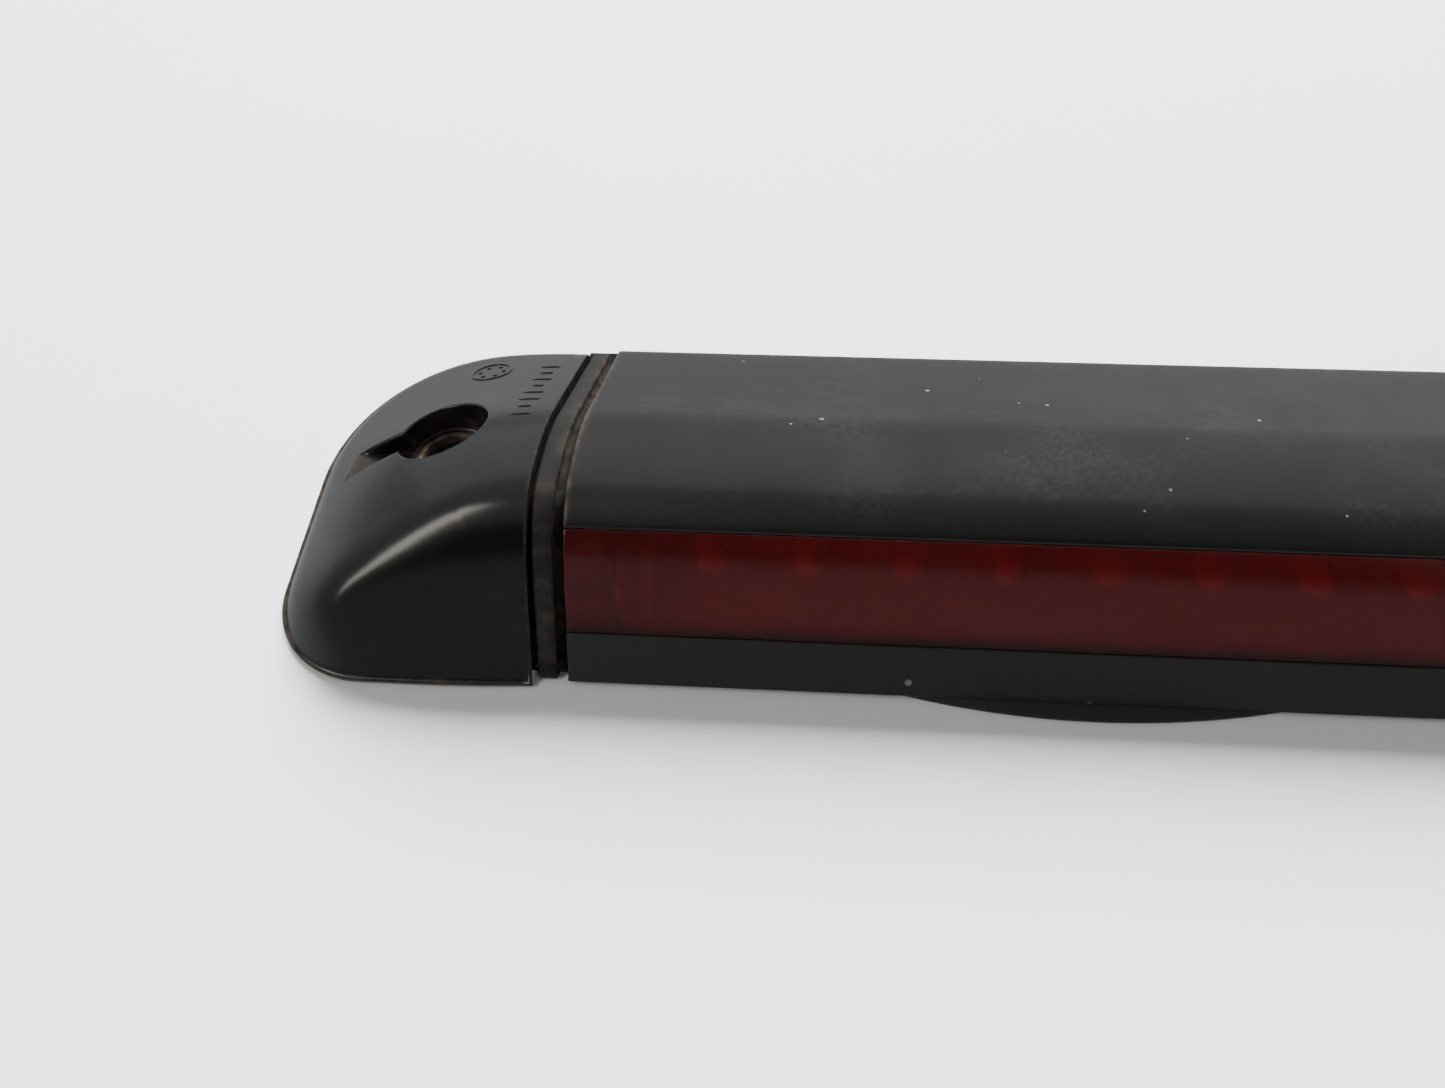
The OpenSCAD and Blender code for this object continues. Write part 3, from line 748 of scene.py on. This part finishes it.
def make_gasket(side):
    """A rubber ring in the bar's section: a rounded strip carried round the outline."""
    name = "end_gasket_right" if side > 0 else "end_gasket_left"
    low, high = box_mm(name)
    x0, x1 = (low[0], high[0]) if side > 0 else (high[0], low[0])
    outer = section_outline(GASKET_SINK, GASKET_FOOT)
    normal = loop_normals(outer)
    wide = abs(x1 - x0)
    turn = np.linspace(0, np.pi / 2, 6)
    rise, fall = GASKET_ROUND * (1 - np.sin(turn)), GASKET_ROUND * (1 - np.cos(turn))
    across = np.concatenate([rise, fall, [NECK_TOP, NECK_TOP, NECK_LOW, NECK_LOW, NECK_TOP, NECK_TOP]])
    along = np.concatenate([fall, wide - rise,
                            [wide, wide + 0.6, wide + 0.6, -1.5, -1.5, 0]])
    points = np.empty((len(outer), len(across), 3))
    flat = outer[:, None] - across[None, :, None] * normal[:, None]
    points[..., 0] = x0 + np.sign(x1 - x0) * along
    points[..., 1:] = flat
    points[..., 1] += FRONT_Y
    verts = points.reshape(-1, 3)
    ring = add_piece(name.replace("end_gasket", "gasket_ring"), verts,
                     grid_faces(*points.shape[:2], wrap_rows=True, wrap_cols=True), GASKET_RUBBER,
                     stands_for=[name], slot="gasket_rubber")
    # brown grime at the joint edge is real dirt; the band towards the front is painted light: its brown
    # lightens the ring's front, so the top stays darker as painted shade
    edge = 0.12 * np.clip(1 - np.abs(verts[:, 0] - x0) / 0.8, 0, 1)
    front = 0.12 * np.clip(1.5 - (verts[:, 1] - FRONT_Y) / 18, 0, 1)
    add_dirt(ring, np.maximum(edge, front))


make_cover()
make_window()
make_front_strip()
for side in (-1, 1):
    make_gasket(side)


# ---------------------------------------------------------------- end caps

ARC_N, WALL_N, EXIT_N = 150, 40, 24
ALONG = np.array([math.cos(SLOT_TURN), -math.sin(SLOT_TURN)])
ACROSS = np.array([math.sin(SLOT_TURN), math.cos(SLOT_TURN)])


def slot_exit(w):
    """How far from the hub the cap's surface has fallen to the slot's floor, w across the slot."""
    near, far = np.full(w.shape, 8.0), np.full(w.shape, 24.0)
    for _ in range(30):
        s = (near + far) / 2
        q, y = (HUB + s[..., None] * ALONG + w[..., None] * ACROSS).T
        above = cap_z(q, y) > POCKET_Z
        near, far = np.where(above, s, near), np.where(above, far, s)
    return near


def keyhole(r, half_w, beyond=0.0):
    """Plan of the pocket and its slot: an arc round the hub, out along one wall, back the other.

    It ends beyond the line where the slot runs out through the cap's surface.
    """
    opening = math.asin(half_w / r)
    turn = np.linspace(opening, 2 * np.pi - opening, ARC_N)
    arc = r * np.stack([np.cos(turn), np.sin(turn)], axis=1)
    w = np.linspace(-half_w, half_w, EXIT_N + 2)
    mouth = slot_exit(w) + beyond
    start = r * math.cos(opening)
    one = np.column_stack([np.linspace(start, mouth[0], WALL_N + 1)[1:], np.full(WALL_N, -half_w)])
    other = np.column_stack([np.linspace(mouth[-1], start, WALL_N + 1)[:-1], np.full(WALL_N, half_w)])
    flat = np.vstack([arc, one, np.column_stack([mouth, w])[1:-1], other])
    return HUB + flat[:, :1] * ALONG + flat[:, 1:] * ACROSS


def slot_circle(r, opening=0.36):
    """A circle round the hub with as many points as the keyhole, in the same order."""
    rest = 2 * WALL_N + EXIT_N
    turn = np.concatenate([np.linspace(opening, 2 * np.pi - opening, ARC_N),
                           np.linspace(-opening, opening, rest + 2)[1:-1]])
    return HUB + r * (np.cos(turn)[:, None] * ALONG + np.sin(turn)[:, None] * ACROSS)


def inside_cap(q, y, joint, side):
    """Whether a plan point lies past the joint and inside the cap's outline drawn in by side."""
    front = np.hypot(q - CORNER[0], y - CORNER[1]) < FRONT_R - side
    back = np.hypot(q - SWEEP[0], y - SWEEP[1]) < BACK_R - side
    straight = (q < CAP_L - side) & (y > side - swell(q)) & (y < BAR_D - BACK_IN - side)
    at_front = (q > CORNER[0]) & (y < CORNER[1])
    at_back = (q > SWEEP[0]) & (y > SWEEP[1])
    return (q > CAP_IN + joint) & np.where(at_front, front, np.where(at_back, back, straight))


def cap_outline(joint, side):
    """The plan outline seen from the hub, one point for each point of the keyhole.

    The rays fan out from the slot; two of them go exactly to the joint's corners.
    """
    q = CAP_IN + joint
    corners = np.array([[q, BAR_D - BACK_IN - side], [q, side - swell(q)]])
    turn = np.degrees(np.arctan2(*((corners - HUB).T[::-1]))) + math.degrees(SLOT_TURN)
    turn[1] += 360
    wide = 62
    at = np.round((turn - wide) / (360 - 2 * wide) * (ARC_N - 1))
    aim = np.interp(np.arange(ARC_N), [0, at[0], at[1], ARC_N - 1], [wide, *turn, 360 - wide])
    one = np.linspace(360 - wide, 346, WALL_N + 1)[1:]
    mouth = np.linspace(346, 374, EXIT_N + 2)[1:-1]
    aim = np.radians(np.concatenate([aim, one, mouth, 720 - one[::-1]]))
    ray = np.cos(aim)[:, None] * ALONG + np.sin(aim)[:, None] * ACROSS
    near, far = np.zeros(len(aim)), np.full(len(aim), 70.0)
    for _ in range(40):
        s = (near + far) / 2
        within = inside_cap(*(HUB + s[:, None] * ray).T, joint, side)
        near, far = np.where(within, s, near), np.where(within, far, s)
    return HUB + near[:, None] * ray


def cap_skin_z(plan, sink=0, low=0.95):
    """Height of the cap's skin over plan points, levelling out at low near the outline."""
    q, y = np.moveaxis(plan, -1, 0)
    return -soft_min(-cap_z(q, y, sink), np.full(q.shape, -low), 0.5)


def rows_between(a, b, share):
    """Rows of points from outline a to outline b, at the given shares of the way."""
    return a + np.asarray(share)[:, None, None] * (b - a)


def with_height(rows, z):
    """Plan rows and their heights as [q, y, z] rows."""
    return np.concatenate([rows, np.broadcast_to(z, rows.shape[:2])[..., None]], axis=2)


def cap_rows():
    """All rows of a cap: out from the pocket's rim, over, under, up inside, back to the rim."""
    rows = []

    # outer surface, its rounded edge, and down the joint's wall to the foot
    rim = keyhole(POCKET_TOP_R + RIM_R, SLOT_W / 2 + RIM_R, 0.2)
    edge, full = cap_outline(EDGE_R, 0.1), cap_outline(0, 0)
    surface = rows_between(rim, edge, 1 - (1 - np.linspace(0, 1, 76)) ** 1.25)
    rows.append(with_height(surface, cap_skin_z(surface)))
    edge_z = cap_skin_z(edge)
    at_joint = np.clip((CAP_IN + 0.6 - full[:, 0]) / 0.4, 0, 1)
    drop = np.minimum(0.1 + (EDGE_R - 0.1) * at_joint, edge_z - CAP_FOOT)
    for turn in np.linspace(0, np.pi / 2, 6)[1:]:
        row = edge + (full - edge) * math.sin(turn)
        rows.append(with_height(row[None], edge_z - drop * (1 - math.cos(turn))))
    for share in np.linspace(0, 1, 8)[1:]:
        rows.append(with_height(full[None], (edge_z - drop) * (1 - share) + CAP_FOOT * share))

    # under the foot, up inside, and over to the pocket's boss
    inner = cap_outline(CAP_SKIN, CAP_SKIN)
    inner_z = np.maximum(cap_z(*inner.T, CAP_SKIN), CAP_FOOT)
    for share in np.linspace(0, 1, 6):
        rows.append(with_height(inner[None], CAP_FOOT + (inner_z - CAP_FOOT) * share))
    boss_r, boss_z = POCKET_R + CAP_SKIN, POCKET_Z - CAP_SKIN
    under = rows_between(inner, keyhole(boss_r, SLOT_W / 2 + 1.8, -1.5), np.linspace(0, 1, 18)[1:])
    rows.append(with_height(under, np.maximum(cap_z(*np.moveaxis(under, -1, 0), CAP_SKIN), CAP_FOOT)))
    rows.append(with_height(under[-1:], boss_z))
    for r, z in ((boss_r, boss_z - 0.1), (boss_r, BAR_FOOT + 0.3), (boss_r - 0.3, BAR_FOOT),
                 (BORE_R, BAR_FOOT), (BORE_R, SHELF_Z), (RECESS_R, SHELF_Z), (RECESS_R, POCKET_Z - 0.2),
                 (RECESS_R + 0.06, POCKET_Z - 0.06), (RECESS_R + 0.2, POCKET_Z)):
        rows.append(with_height(slot_circle(r)[None], z))

    # over the ledge and up the pocket's wall, eased at its foot and at its rim
    ledge_edge = keyhole(POCKET_R - RIM_R, SLOT_W / 2 - RIM_R, -0.6)
    base, top = keyhole(POCKET_R, SLOT_W / 2 - 0.2, -0.4), keyhole(POCKET_TOP_R, SLOT_W / 2, -0.2)
    ledge = rows_between(slot_circle(RECESS_R + 0.2), ledge_edge, np.linspace(0, 1, 18)[1:])
    rows.append(with_height(ledge, POCKET_Z))
    rim_z = cap_skin_z(rim)
    ease = np.clip((rim_z - POCKET_Z) * 0.4, -1, RIM_R)
    for turn in np.linspace(0, np.pi / 2, 6)[1:]:
        row = ledge_edge + (base - ledge_edge) * math.sin(turn)
        rows.append(with_height(row[None], POCKET_Z + ease * (1 - math.cos(turn))))
    for share in np.linspace(0, 1, 9)[1:]:
        row = base + (top - base) * share
        rows.append(with_height(row[None], (POCKET_Z + ease) * (1 - share) + (rim_z - ease) * share))
    for turn in np.linspace(0, np.pi / 2, 7)[1:-1]:
        row = top + (rim - top) * (1 - math.cos(turn))
        rows.append(with_height(row[None], rim_z - ease * (1 - math.sin(turn))))
    return np.concatenate(rows)


def to_side(points, side):
    """Points drawn as [distance out from the cover's end, depth, height] put at one end of the bar."""
    return points * [side, 1, 1] + [side * HALF_L, FRONT_Y, 0]


def make_cap(side):
    """One end cap: a domed shell with the screw pocket and its slot sunk into it."""
    rows = cap_rows()
    q, _, z = np.moveaxis(rows, -1, 0)
    s, w = ((rows[..., :2] - HUB) @ np.stack([ALONG, ACROSS], axis=1)).transpose(2, 0, 1)
    in_slot = (np.hypot(s, w) < POCKET_TOP_R) | ((s > 0) & (np.abs(w) < SLOT_W / 2 + 0.2))
    sunk = in_slot & (z > POCKET_Z - 0.5)
    ring = np.clip(1 - np.abs(np.hypot(s, w) - RECESS_R) / 0.8, 0, 1)
    grime = np.where(sunk, np.clip((POCKET_Z + 2.2 - z) / 1.8, 0, 1) * (0.08 + 0.92 * ring), 0)
    low = 0.35 * np.clip(1 - (z - CAP_FOOT) / 0.9, 0, 1)
    joint = 0.1 * np.clip(1 - (q - CAP_IN) / 0.5, 0, 1)
    name = "right" if side > 0 else "left"
    cap = add_piece(f"cap_shell_{name}", to_side(rows, side).reshape(-1, 3),
                    grid_faces(*rows.shape[:2], wrap_rows=True, wrap_cols=True), CAP_BLACK,
                    stands_for=[f"end_cap_{name}"], slot="cap_black")
    add_dirt(cap, np.maximum(grime, np.maximum(low, joint)).reshape(-1))


def raised_marks(side):
    """Plain moulded marks on a cap: a column of short ribs, and a ring with a dot in it.

    Each mark is a loop of points carried up through the skin and drawn in at the top.
    """
    loops = []
    for i, length in enumerate(MARK_RIBS):
        loops.append(rounded_rect(length / 2, 0.28, 0.26, 4) + [MARK_Q, MARK_Y + MARK_STEP * i])
    turn = np.linspace(0, 2 * np.pi, 12, endpoint=False)
    for i in range(6):
        spin = 2 * np.pi * i / 6
        dot = MARK_RING + 2.2 * np.array([math.cos(spin), math.sin(spin)])
        loops.append(dot + 0.4 * np.stack([np.cos(turn), np.sin(turn)], axis=1))
    parts = []
    for loop in loops:
        middle = loop.mean(axis=0)
        rings = []
        for share, up in ((1, -0.4), (1, 0.04), (0.85, 0.14), (0.6, 0.18), (0.1, 0.18)):
            flat = middle + (loop - middle) * share
            rings.append(np.column_stack([flat, cap_skin_z(flat) + up]))
        parts.append(to_side(np.array(rings), side))
    verts, faces = join_parts(parts)
    turn = np.linspace(0, 2 * np.pi, 72, endpoint=False)
    rim = []
    for r, up in ((3.2, -0.4), (3.2, 0.04), (3.3, 0.15), (3.5, 0.18), (3.7, 0.15), (3.8, 0.04), (3.8, -0.4)):
        flat = MARK_RING + r * np.stack([np.cos(turn), np.sin(turn)], axis=1)
        rim.append(np.column_stack([flat, cap_skin_z(flat) + up]))
    rim = np.array(rim)
    faces += grid_faces(*rim.shape[:2], wrap_rows=True, wrap_cols=True, start=len(verts))
    verts = np.vstack([verts, to_side(rim, side).reshape(-1, 3)])
    name = "right" if side > 0 else "left"
    add_piece(f"cap_marks_{name}", verts, faces, CAP_BLACK, slot="cap_black")


for side in (-1, 1):
    make_cap(side)
    raised_marks(side)


# ---------------------------------------------------------------- small parts

def node_centre(node):
    """Middle of a frame node's box in millimetres."""
    low, high = box_mm(node)
    return (low + high) / 2


def make_collar(side):
    """A metal bushing down the screw's bore, with eased edges."""
    name = "right" if side > 0 else "left"
    low, high = box_mm(f"screw_collar_{name}")
    height = high[2] - low[2]
    profile = rounded_profile([[3.25, 1], [3.25, 0], [4.65, 0], [4.65, height], [3.25, height], [3.25, 1.1]],
                              [0.15, 0.2, 0.3, 0.5])
    middle = node_centre(f"screw_collar_{name}")
    points = lathe(profile, (*middle[:2], low[2]), 64)
    add_piece(f"collar_{name}", points.reshape(-1, 3), grid_faces(*points.shape[:2], True, True),
              COLLAR_METAL, stands_for=[f"screw_collar_{name}"], slot="collar_metal")


def make_seal(side):
    """A flat rubber washer under the cap's boss."""
    name = "right" if side > 0 else "left"
    top = box_mm(f"collar_seal_{name}")[1][2]
    profile = rounded_profile([[3.45, 0.4], [3.45, 0], [8.4, 0], [8.4, top], [3.45, top], [3.45, 0.45]],
                              [0.15, 0.25, 0.25, 0.15])
    points = lathe(profile, (*node_centre(f"collar_seal_{name}")[:2], 0), 64)
    add_piece(f"seal_{name}", points.reshape(-1, 3), grid_faces(*points.shape[:2], True, True),
              PAD_RUBBER, stands_for=[f"collar_seal_{name}"], slot="pad_rubber")


def make_leds():
    """A row of domed LEDs, each a body with a round tip lying along Y, and its two legs."""
    low, high = box_mm("leds")
    count, r = 20, 2.5
    pitch = (high[0] - low[0] - 2 * (r + 0.5)) / (count - 1)
    height = (low[2] + high[2]) / 2
    turn = np.linspace(0, np.pi / 2, 9)
    back = high[1] - 2.8
    body = [[0.05, 0], [r + 0.5, 0], [r + 0.5, 0.8], [r, 0.9], [r, 6]]
    tip = np.stack([r * np.cos(turn), 6 + r * np.sin(turn)], axis=1)[1:-1]
    profile = np.vstack([body, tip, [[0.05, 6 + r]]])
    parts = []
    for i in range(count):
        x = low[0] + r + 0.5 + i * pitch
        upright = lathe(profile, (0, 0, 0), 24)
        laid = np.stack([upright[..., 0] + x, back - upright[..., 2], upright[..., 1] + height], axis=-1)
        parts.append(laid)
        for leg in (-1.27, 1.27):
            pin = lathe([[0.3, 0.01], [0.3, 2.7], [0.2, 2.8]], (0, 0, 0), 12)
            parts.append(np.stack([pin[..., 0] + x + leg, back + pin[..., 2], pin[..., 1] + height], axis=-1))
    verts, faces = join_parts(parts)
    add_piece("led_domes", verts, faces, LED_RED, stands_for=["leds"], slot="led_red")


def screw_points(x, y, head_r, head_t, shank_r, shank_l):
    """A pan-head screw pointing up, its head under it with a cross cut into the underside.

    The head's face is a polar grid; where it crosses either arm of the cross it is sunk.
    """
    turn = np.linspace(0, 2 * np.pi, 64, endpoint=False)
    rings = []
    for r in np.linspace(0.02, head_r - 0.25, 26):
        px, py = r * np.cos(turn), r * np.sin(turn)
        arm = np.minimum(np.abs(px), np.abs(py)) < 0.11 * head_r
        cut = arm & (r < 0.55 * head_r)
        rings.append(np.stack([px, py, np.where(cut, 0.55 * head_t, 0.0)], axis=1))
    for r, z in ((head_r - 0.08, 0.1), (head_r, 0.3), (head_r, head_t), (shank_r, head_t),
                 (shank_r, head_t + shank_l - 0.3), (0.4 * shank_r, head_t + shank_l)):
        rings.append(np.stack([r * np.cos(turn), r * np.sin(turn), np.full(64, z)], axis=1))
    return np.array(rings) + [x, y, 0]


def make_under_screws(node, places, head_r, shank_r):
    """The screws that go up through the base plate from below."""
    low, high = box_mm(node)
    head_t = 1.0
    parts = [screw_points(x, y + FRONT_Y, head_r, head_t, shank_r, high[2] - low[2] - head_t) + [0, 0, low[2]]
             for x, y in places]
    verts, faces = join_parts(parts)
    add_piece(node.replace("screws", "pan_screws"), verts, faces, SCREW_STEEL, stands_for=[node],
              slot="screw_steel")


def make_pad():
    """The rubber pad under the bar: a ring of sheet with two curved lips along its front."""
    low, high = box_mm("base_pad")
    top = high[2]
    x = np.unique(np.concatenate([np.linspace(low[0], high[0], 120)] + [
        side * LIP_X + np.linspace(-0.7 * LIP_L, 0.7 * LIP_L, 80) for side in (-1, 1)]))
    arc_r = (LIP_L ** 2 / 4 + LIP_OUT ** 2) / (2 * LIP_OUT)
    front = np.full(x.shape, PAD_FRONT)
    for side in (-1, 1):
        near = np.abs(x - side * LIP_X) <= 0.7 * LIP_L
        front[near] = arc_r - LIP_OUT - np.sqrt(arc_r ** 2 - (x[near] - side * LIP_X) ** 2)
    back = high[1] - FRONT_Y
    plan = np.vstack([np.column_stack([x, front]), [[high[0], back], [low[0], back]]])
    left, right, hole_y = low[0] + PAD_W, high[0] - PAD_W, PAD_FRONT + PAD_W
    hole = np.array([[left, hole_y], [right, hole_y], [right, back - PAD_W], [left, back - PAD_W]])
    # the hole's edge takes as many points as the outer edge, so that the two join as a grid
    inner = np.empty_like(plan)
    inner[:len(x), 0] = np.clip(x, hole[0, 0], hole[1, 0])
    inner[:len(x), 1] = hole_y
    inner[len(x):] = hole[2:]
    rows = []
    for share, z in ((0, 0.25), (0.03, 0), (0.97, 0), (1, 0.2), (1, top), (0.03, top), (0, top - 0.25)):
        flat = plan + (inner - plan) * share
        rows.append(np.column_stack([flat[:, 0], flat[:, 1] + FRONT_Y, np.full(len(flat), z)]))
    rows = np.array(rows)
    add_piece("pad_ring", rows.reshape(-1, 3), grid_faces(*rows.shape[:2], wrap_rows=True, wrap_cols=True),
              PAD_RUBBER, stands_for=["base_pad"], slot="pad_rubber")


def make_socket():
    """The inlet: an open rounded box with thick walls, and two flat blades inside."""
    low, high = box_mm("inlet_socket")
    middle = (low + high) / 2
    half = (high - low) / 2
    wall = 2
    rings = block_rings((middle[0], middle[1]), [
        (half[0] - wall, half[1] - wall, 0.8, high[2] - wall - 0.2),
        (half[0] - wall, half[1] - wall, 0.8, low[2] + 0.3),
        (half[0] - wall + 0.3, half[1] - wall + 0.3, 0.9, low[2]),
        (half[0] - 0.3, half[1] - 0.3, 1.2, low[2]),
        (half[0], half[1], 1.5, low[2] + 0.3),
        (half[0], half[1], 1.5, high[2] - 0.4),
        (half[0] - 0.4, half[1] - 0.4, 1.2, high[2]),
    ])
    add_piece("socket_shell", rings.reshape(-1, 3), tube_faces(*rings.shape[:2]), SOCKET_GREY,
              stands_for=["inlet_socket"], slot="socket_grey")
    low, high = box_mm("socket_pins")
    blade = [(1.1, 0.2, 0.1, low[2]), (1.4, 0.4, 0.1, low[2] + 0.6), (1.4, 0.4, 0.1, high[2] - 0.2),
             (1.3, 0.3, 0.1, high[2])]
    y = (low[1] + high[1]) / 2
    verts, faces = join_parts([block_rings((x, y), blade) for x in (low[0] + 1.4, high[0] - 1.4)])
    add_piece("socket_blades", verts, faces, CONTACT_BRASS, stands_for=["socket_pins"], slot="contact_brass")


def make_vent():
    """A round breather plug: a head below the plate with a ring of small notches in its rim."""
    low, high = box_mm("vent_plug")
    middle = (low + high) / 2
    turn = np.linspace(0, 2 * np.pi, 96, endpoint=False)
    notch = 0.25 * (np.cos(12 * turn) > 0.6)
    rings = []
    for r, z in ((0.3, 0.15), (2.4, 0.15), (2.7, 0), (4.7, 0), (5, 0.2), (5, 0.7), (3, 0.7), (3, 2.65),
                 (3.6, 2.75), (3.4, high[2] - low[2]), (0.3, high[2] - low[2])):
        wide = r - notch * (r > 4.5)
        rings.append(np.stack([wide * np.cos(turn), wide * np.sin(turn), np.full(96, z)], axis=1))
    points = np.array(rings) + [middle[0], middle[1], low[2]]
    add_piece("vent_disc", points.reshape(-1, 3), tube_faces(*points.shape[:2]), VENT_GREY,
              stands_for=["vent_plug"], slot="vent_grey")


for side in (-1, 1):
    make_collar(side)
    make_seal(side)
make_leds()
make_pad()
make_socket()
make_vent()
make_under_screws("holder_screws", [(x, 29.6) for x in (-120, -40, 40, 120)], 2.6, 1.25)
make_under_screws("bracket_screws", [(side * (HALF_L - 3), y) for side in (-1, 1) for y in (16, 46)],
                  2.4, 0.98)


# ---------------------------------------------------------------- studio

def make_floor():
    """A plain pale table far wider than the lamp."""
    size = 3000
    mesh = bpy.data.meshes.new("table")
    mesh.from_pydata([(x * size * MM, y * size * MM, 0) for x, y in ((-1, -1), (1, -1), (1, 1), (-1, 1))],
                     [], [(0, 1, 2, 3)])
    table = bpy.data.objects.new("table", mesh)
    bpy.context.scene.collection.objects.link(table)
    finish, tree, shader = new_finish("table_white")
    shade = noise_node(tree, 6, 4)
    tree.links.new(mix_colour(tree, shade, (0.74, 0.755, 0.765), (0.8, 0.81, 0.82)),
                   shader.inputs["Base Color"])
    shader.inputs["Roughness"].default_value = 0.45
    mesh.materials.append(finish)
    table.visible_glossy = False


def add_lamp(name, place, aim, size, power, colour=(1, 1, 1), glossy=True, roll=0):
    """A rectangular area lamp at a place, facing a point and rolled about that line; in metres."""
    data = bpy.data.lights.new(name, "AREA")
    data.shape = "RECTANGLE"
    data.size, data.size_y = size
    data.energy = power
    data.color = colour
    lamp = bpy.data.objects.new(name, data)
    bpy.context.scene.collection.objects.link(lamp)
    lamp.visible_glossy = glossy
    lamp.location = place
    turn = (Vector(aim) - Vector(place)).to_track_quat("-Z", "Y").to_matrix()
    lamp.rotation_euler = (turn @ Matrix.Rotation(math.radians(roll), 3, "Z")).to_euler()


def make_flag():
    """A black panel high in front, seen only in reflections."""
    mesh = bpy.data.meshes.new("flag")
    mesh.from_pydata([(-1.1, -0.75, 0.42), (0.6, -0.95, 0.42), (0.6, -0.8, 0.95), (-1.1, -0.6, 0.95)],
                     [], [(0, 1, 2, 3)])
    flag = bpy.data.objects.new("flag", mesh)
    bpy.context.scene.collection.objects.link(flag)
    finish, _, shader = new_finish("flag_black")
    shader.inputs["Base Color"].default_value = (0.002, 0.002, 0.002, 1)
    shader.inputs["Roughness"].default_value = 1
    shader.inputs["Specular IOR Level"].default_value = 0
    mesh.materials.append(finish)
    flag.visible_camera = flag.visible_diffuse = flag.visible_shadow = flag.visible_transmission = False


def make_camera():
    """The camera above the lamp's left end, looking down and a little to its left."""
    heading, down, roll = (math.radians(a) for a in (5.76, 55, 2.68))
    forward = Vector((-math.sin(heading) * math.cos(down), math.cos(heading) * math.cos(down),
                      -math.sin(down)))
    level = Vector((math.cos(heading), math.sin(heading), 0))
    below = forward.cross(level)
    across = level * math.cos(roll) + below * math.sin(roll)
    below = below * math.cos(roll) - level * math.sin(roll)
    data = bpy.data.cameras.new("camera")
    data.lens = 27.08
    data.sensor_width = 36
    data.clip_start = 0.01
    camera = bpy.data.objects.new("camera", data)
    bpy.context.scene.collection.objects.link(camera)
    turn = Matrix((across, -below, -forward)).transposed().to_4x4()
    place = Vector(((32 - HALF_L) * MM, (FRONT_Y - 74.55) * MM, 146.87 * MM))
    camera.matrix_world = Matrix.Translation(place) @ turn
    bpy.context.scene.camera = camera


make_floor()
make_camera()
make_flag()
add_lamp("wide", (-0.1, 1.5, 1.1), (-0.1, 0, 0), (1.8, 0.8), 270, (0.95, 0.98, 1), glossy=False)
add_lamp("back", (0, 2.2, 1.3), (0, 0, 0.1), (6, 2), 13, (0.98, 0.98, 1))
add_lamp("crease", (-0.92, -0.42, 0.87), (-0.18, -0.02, 0.02), (0.22, 1), 5.5, (1, 0.97, 0.86), roll=27)

world = bpy.data.worlds.new("studio")
bpy.context.scene.world = world
world.use_nodes = True
sky_tree = world.node_tree
sky = sky_tree.nodes["Background"]
direction = sky_tree.nodes.new("ShaderNodeTexCoord")
split = sky_tree.nodes.new("ShaderNodeSeparateXYZ")
sky_tree.links.new(direction.outputs["Generated"], split.inputs["Vector"])
# a little brighter below the horizon, in place of the pale table's own reflection
sky_tree.links.new(mix_colour(sky_tree, step_node(sky_tree, split.outputs["Z"], -0.14, 0.02),
                              (0.53, 0.535, 0.54), (0.26, 0.265, 0.275)), sky.inputs["Color"])
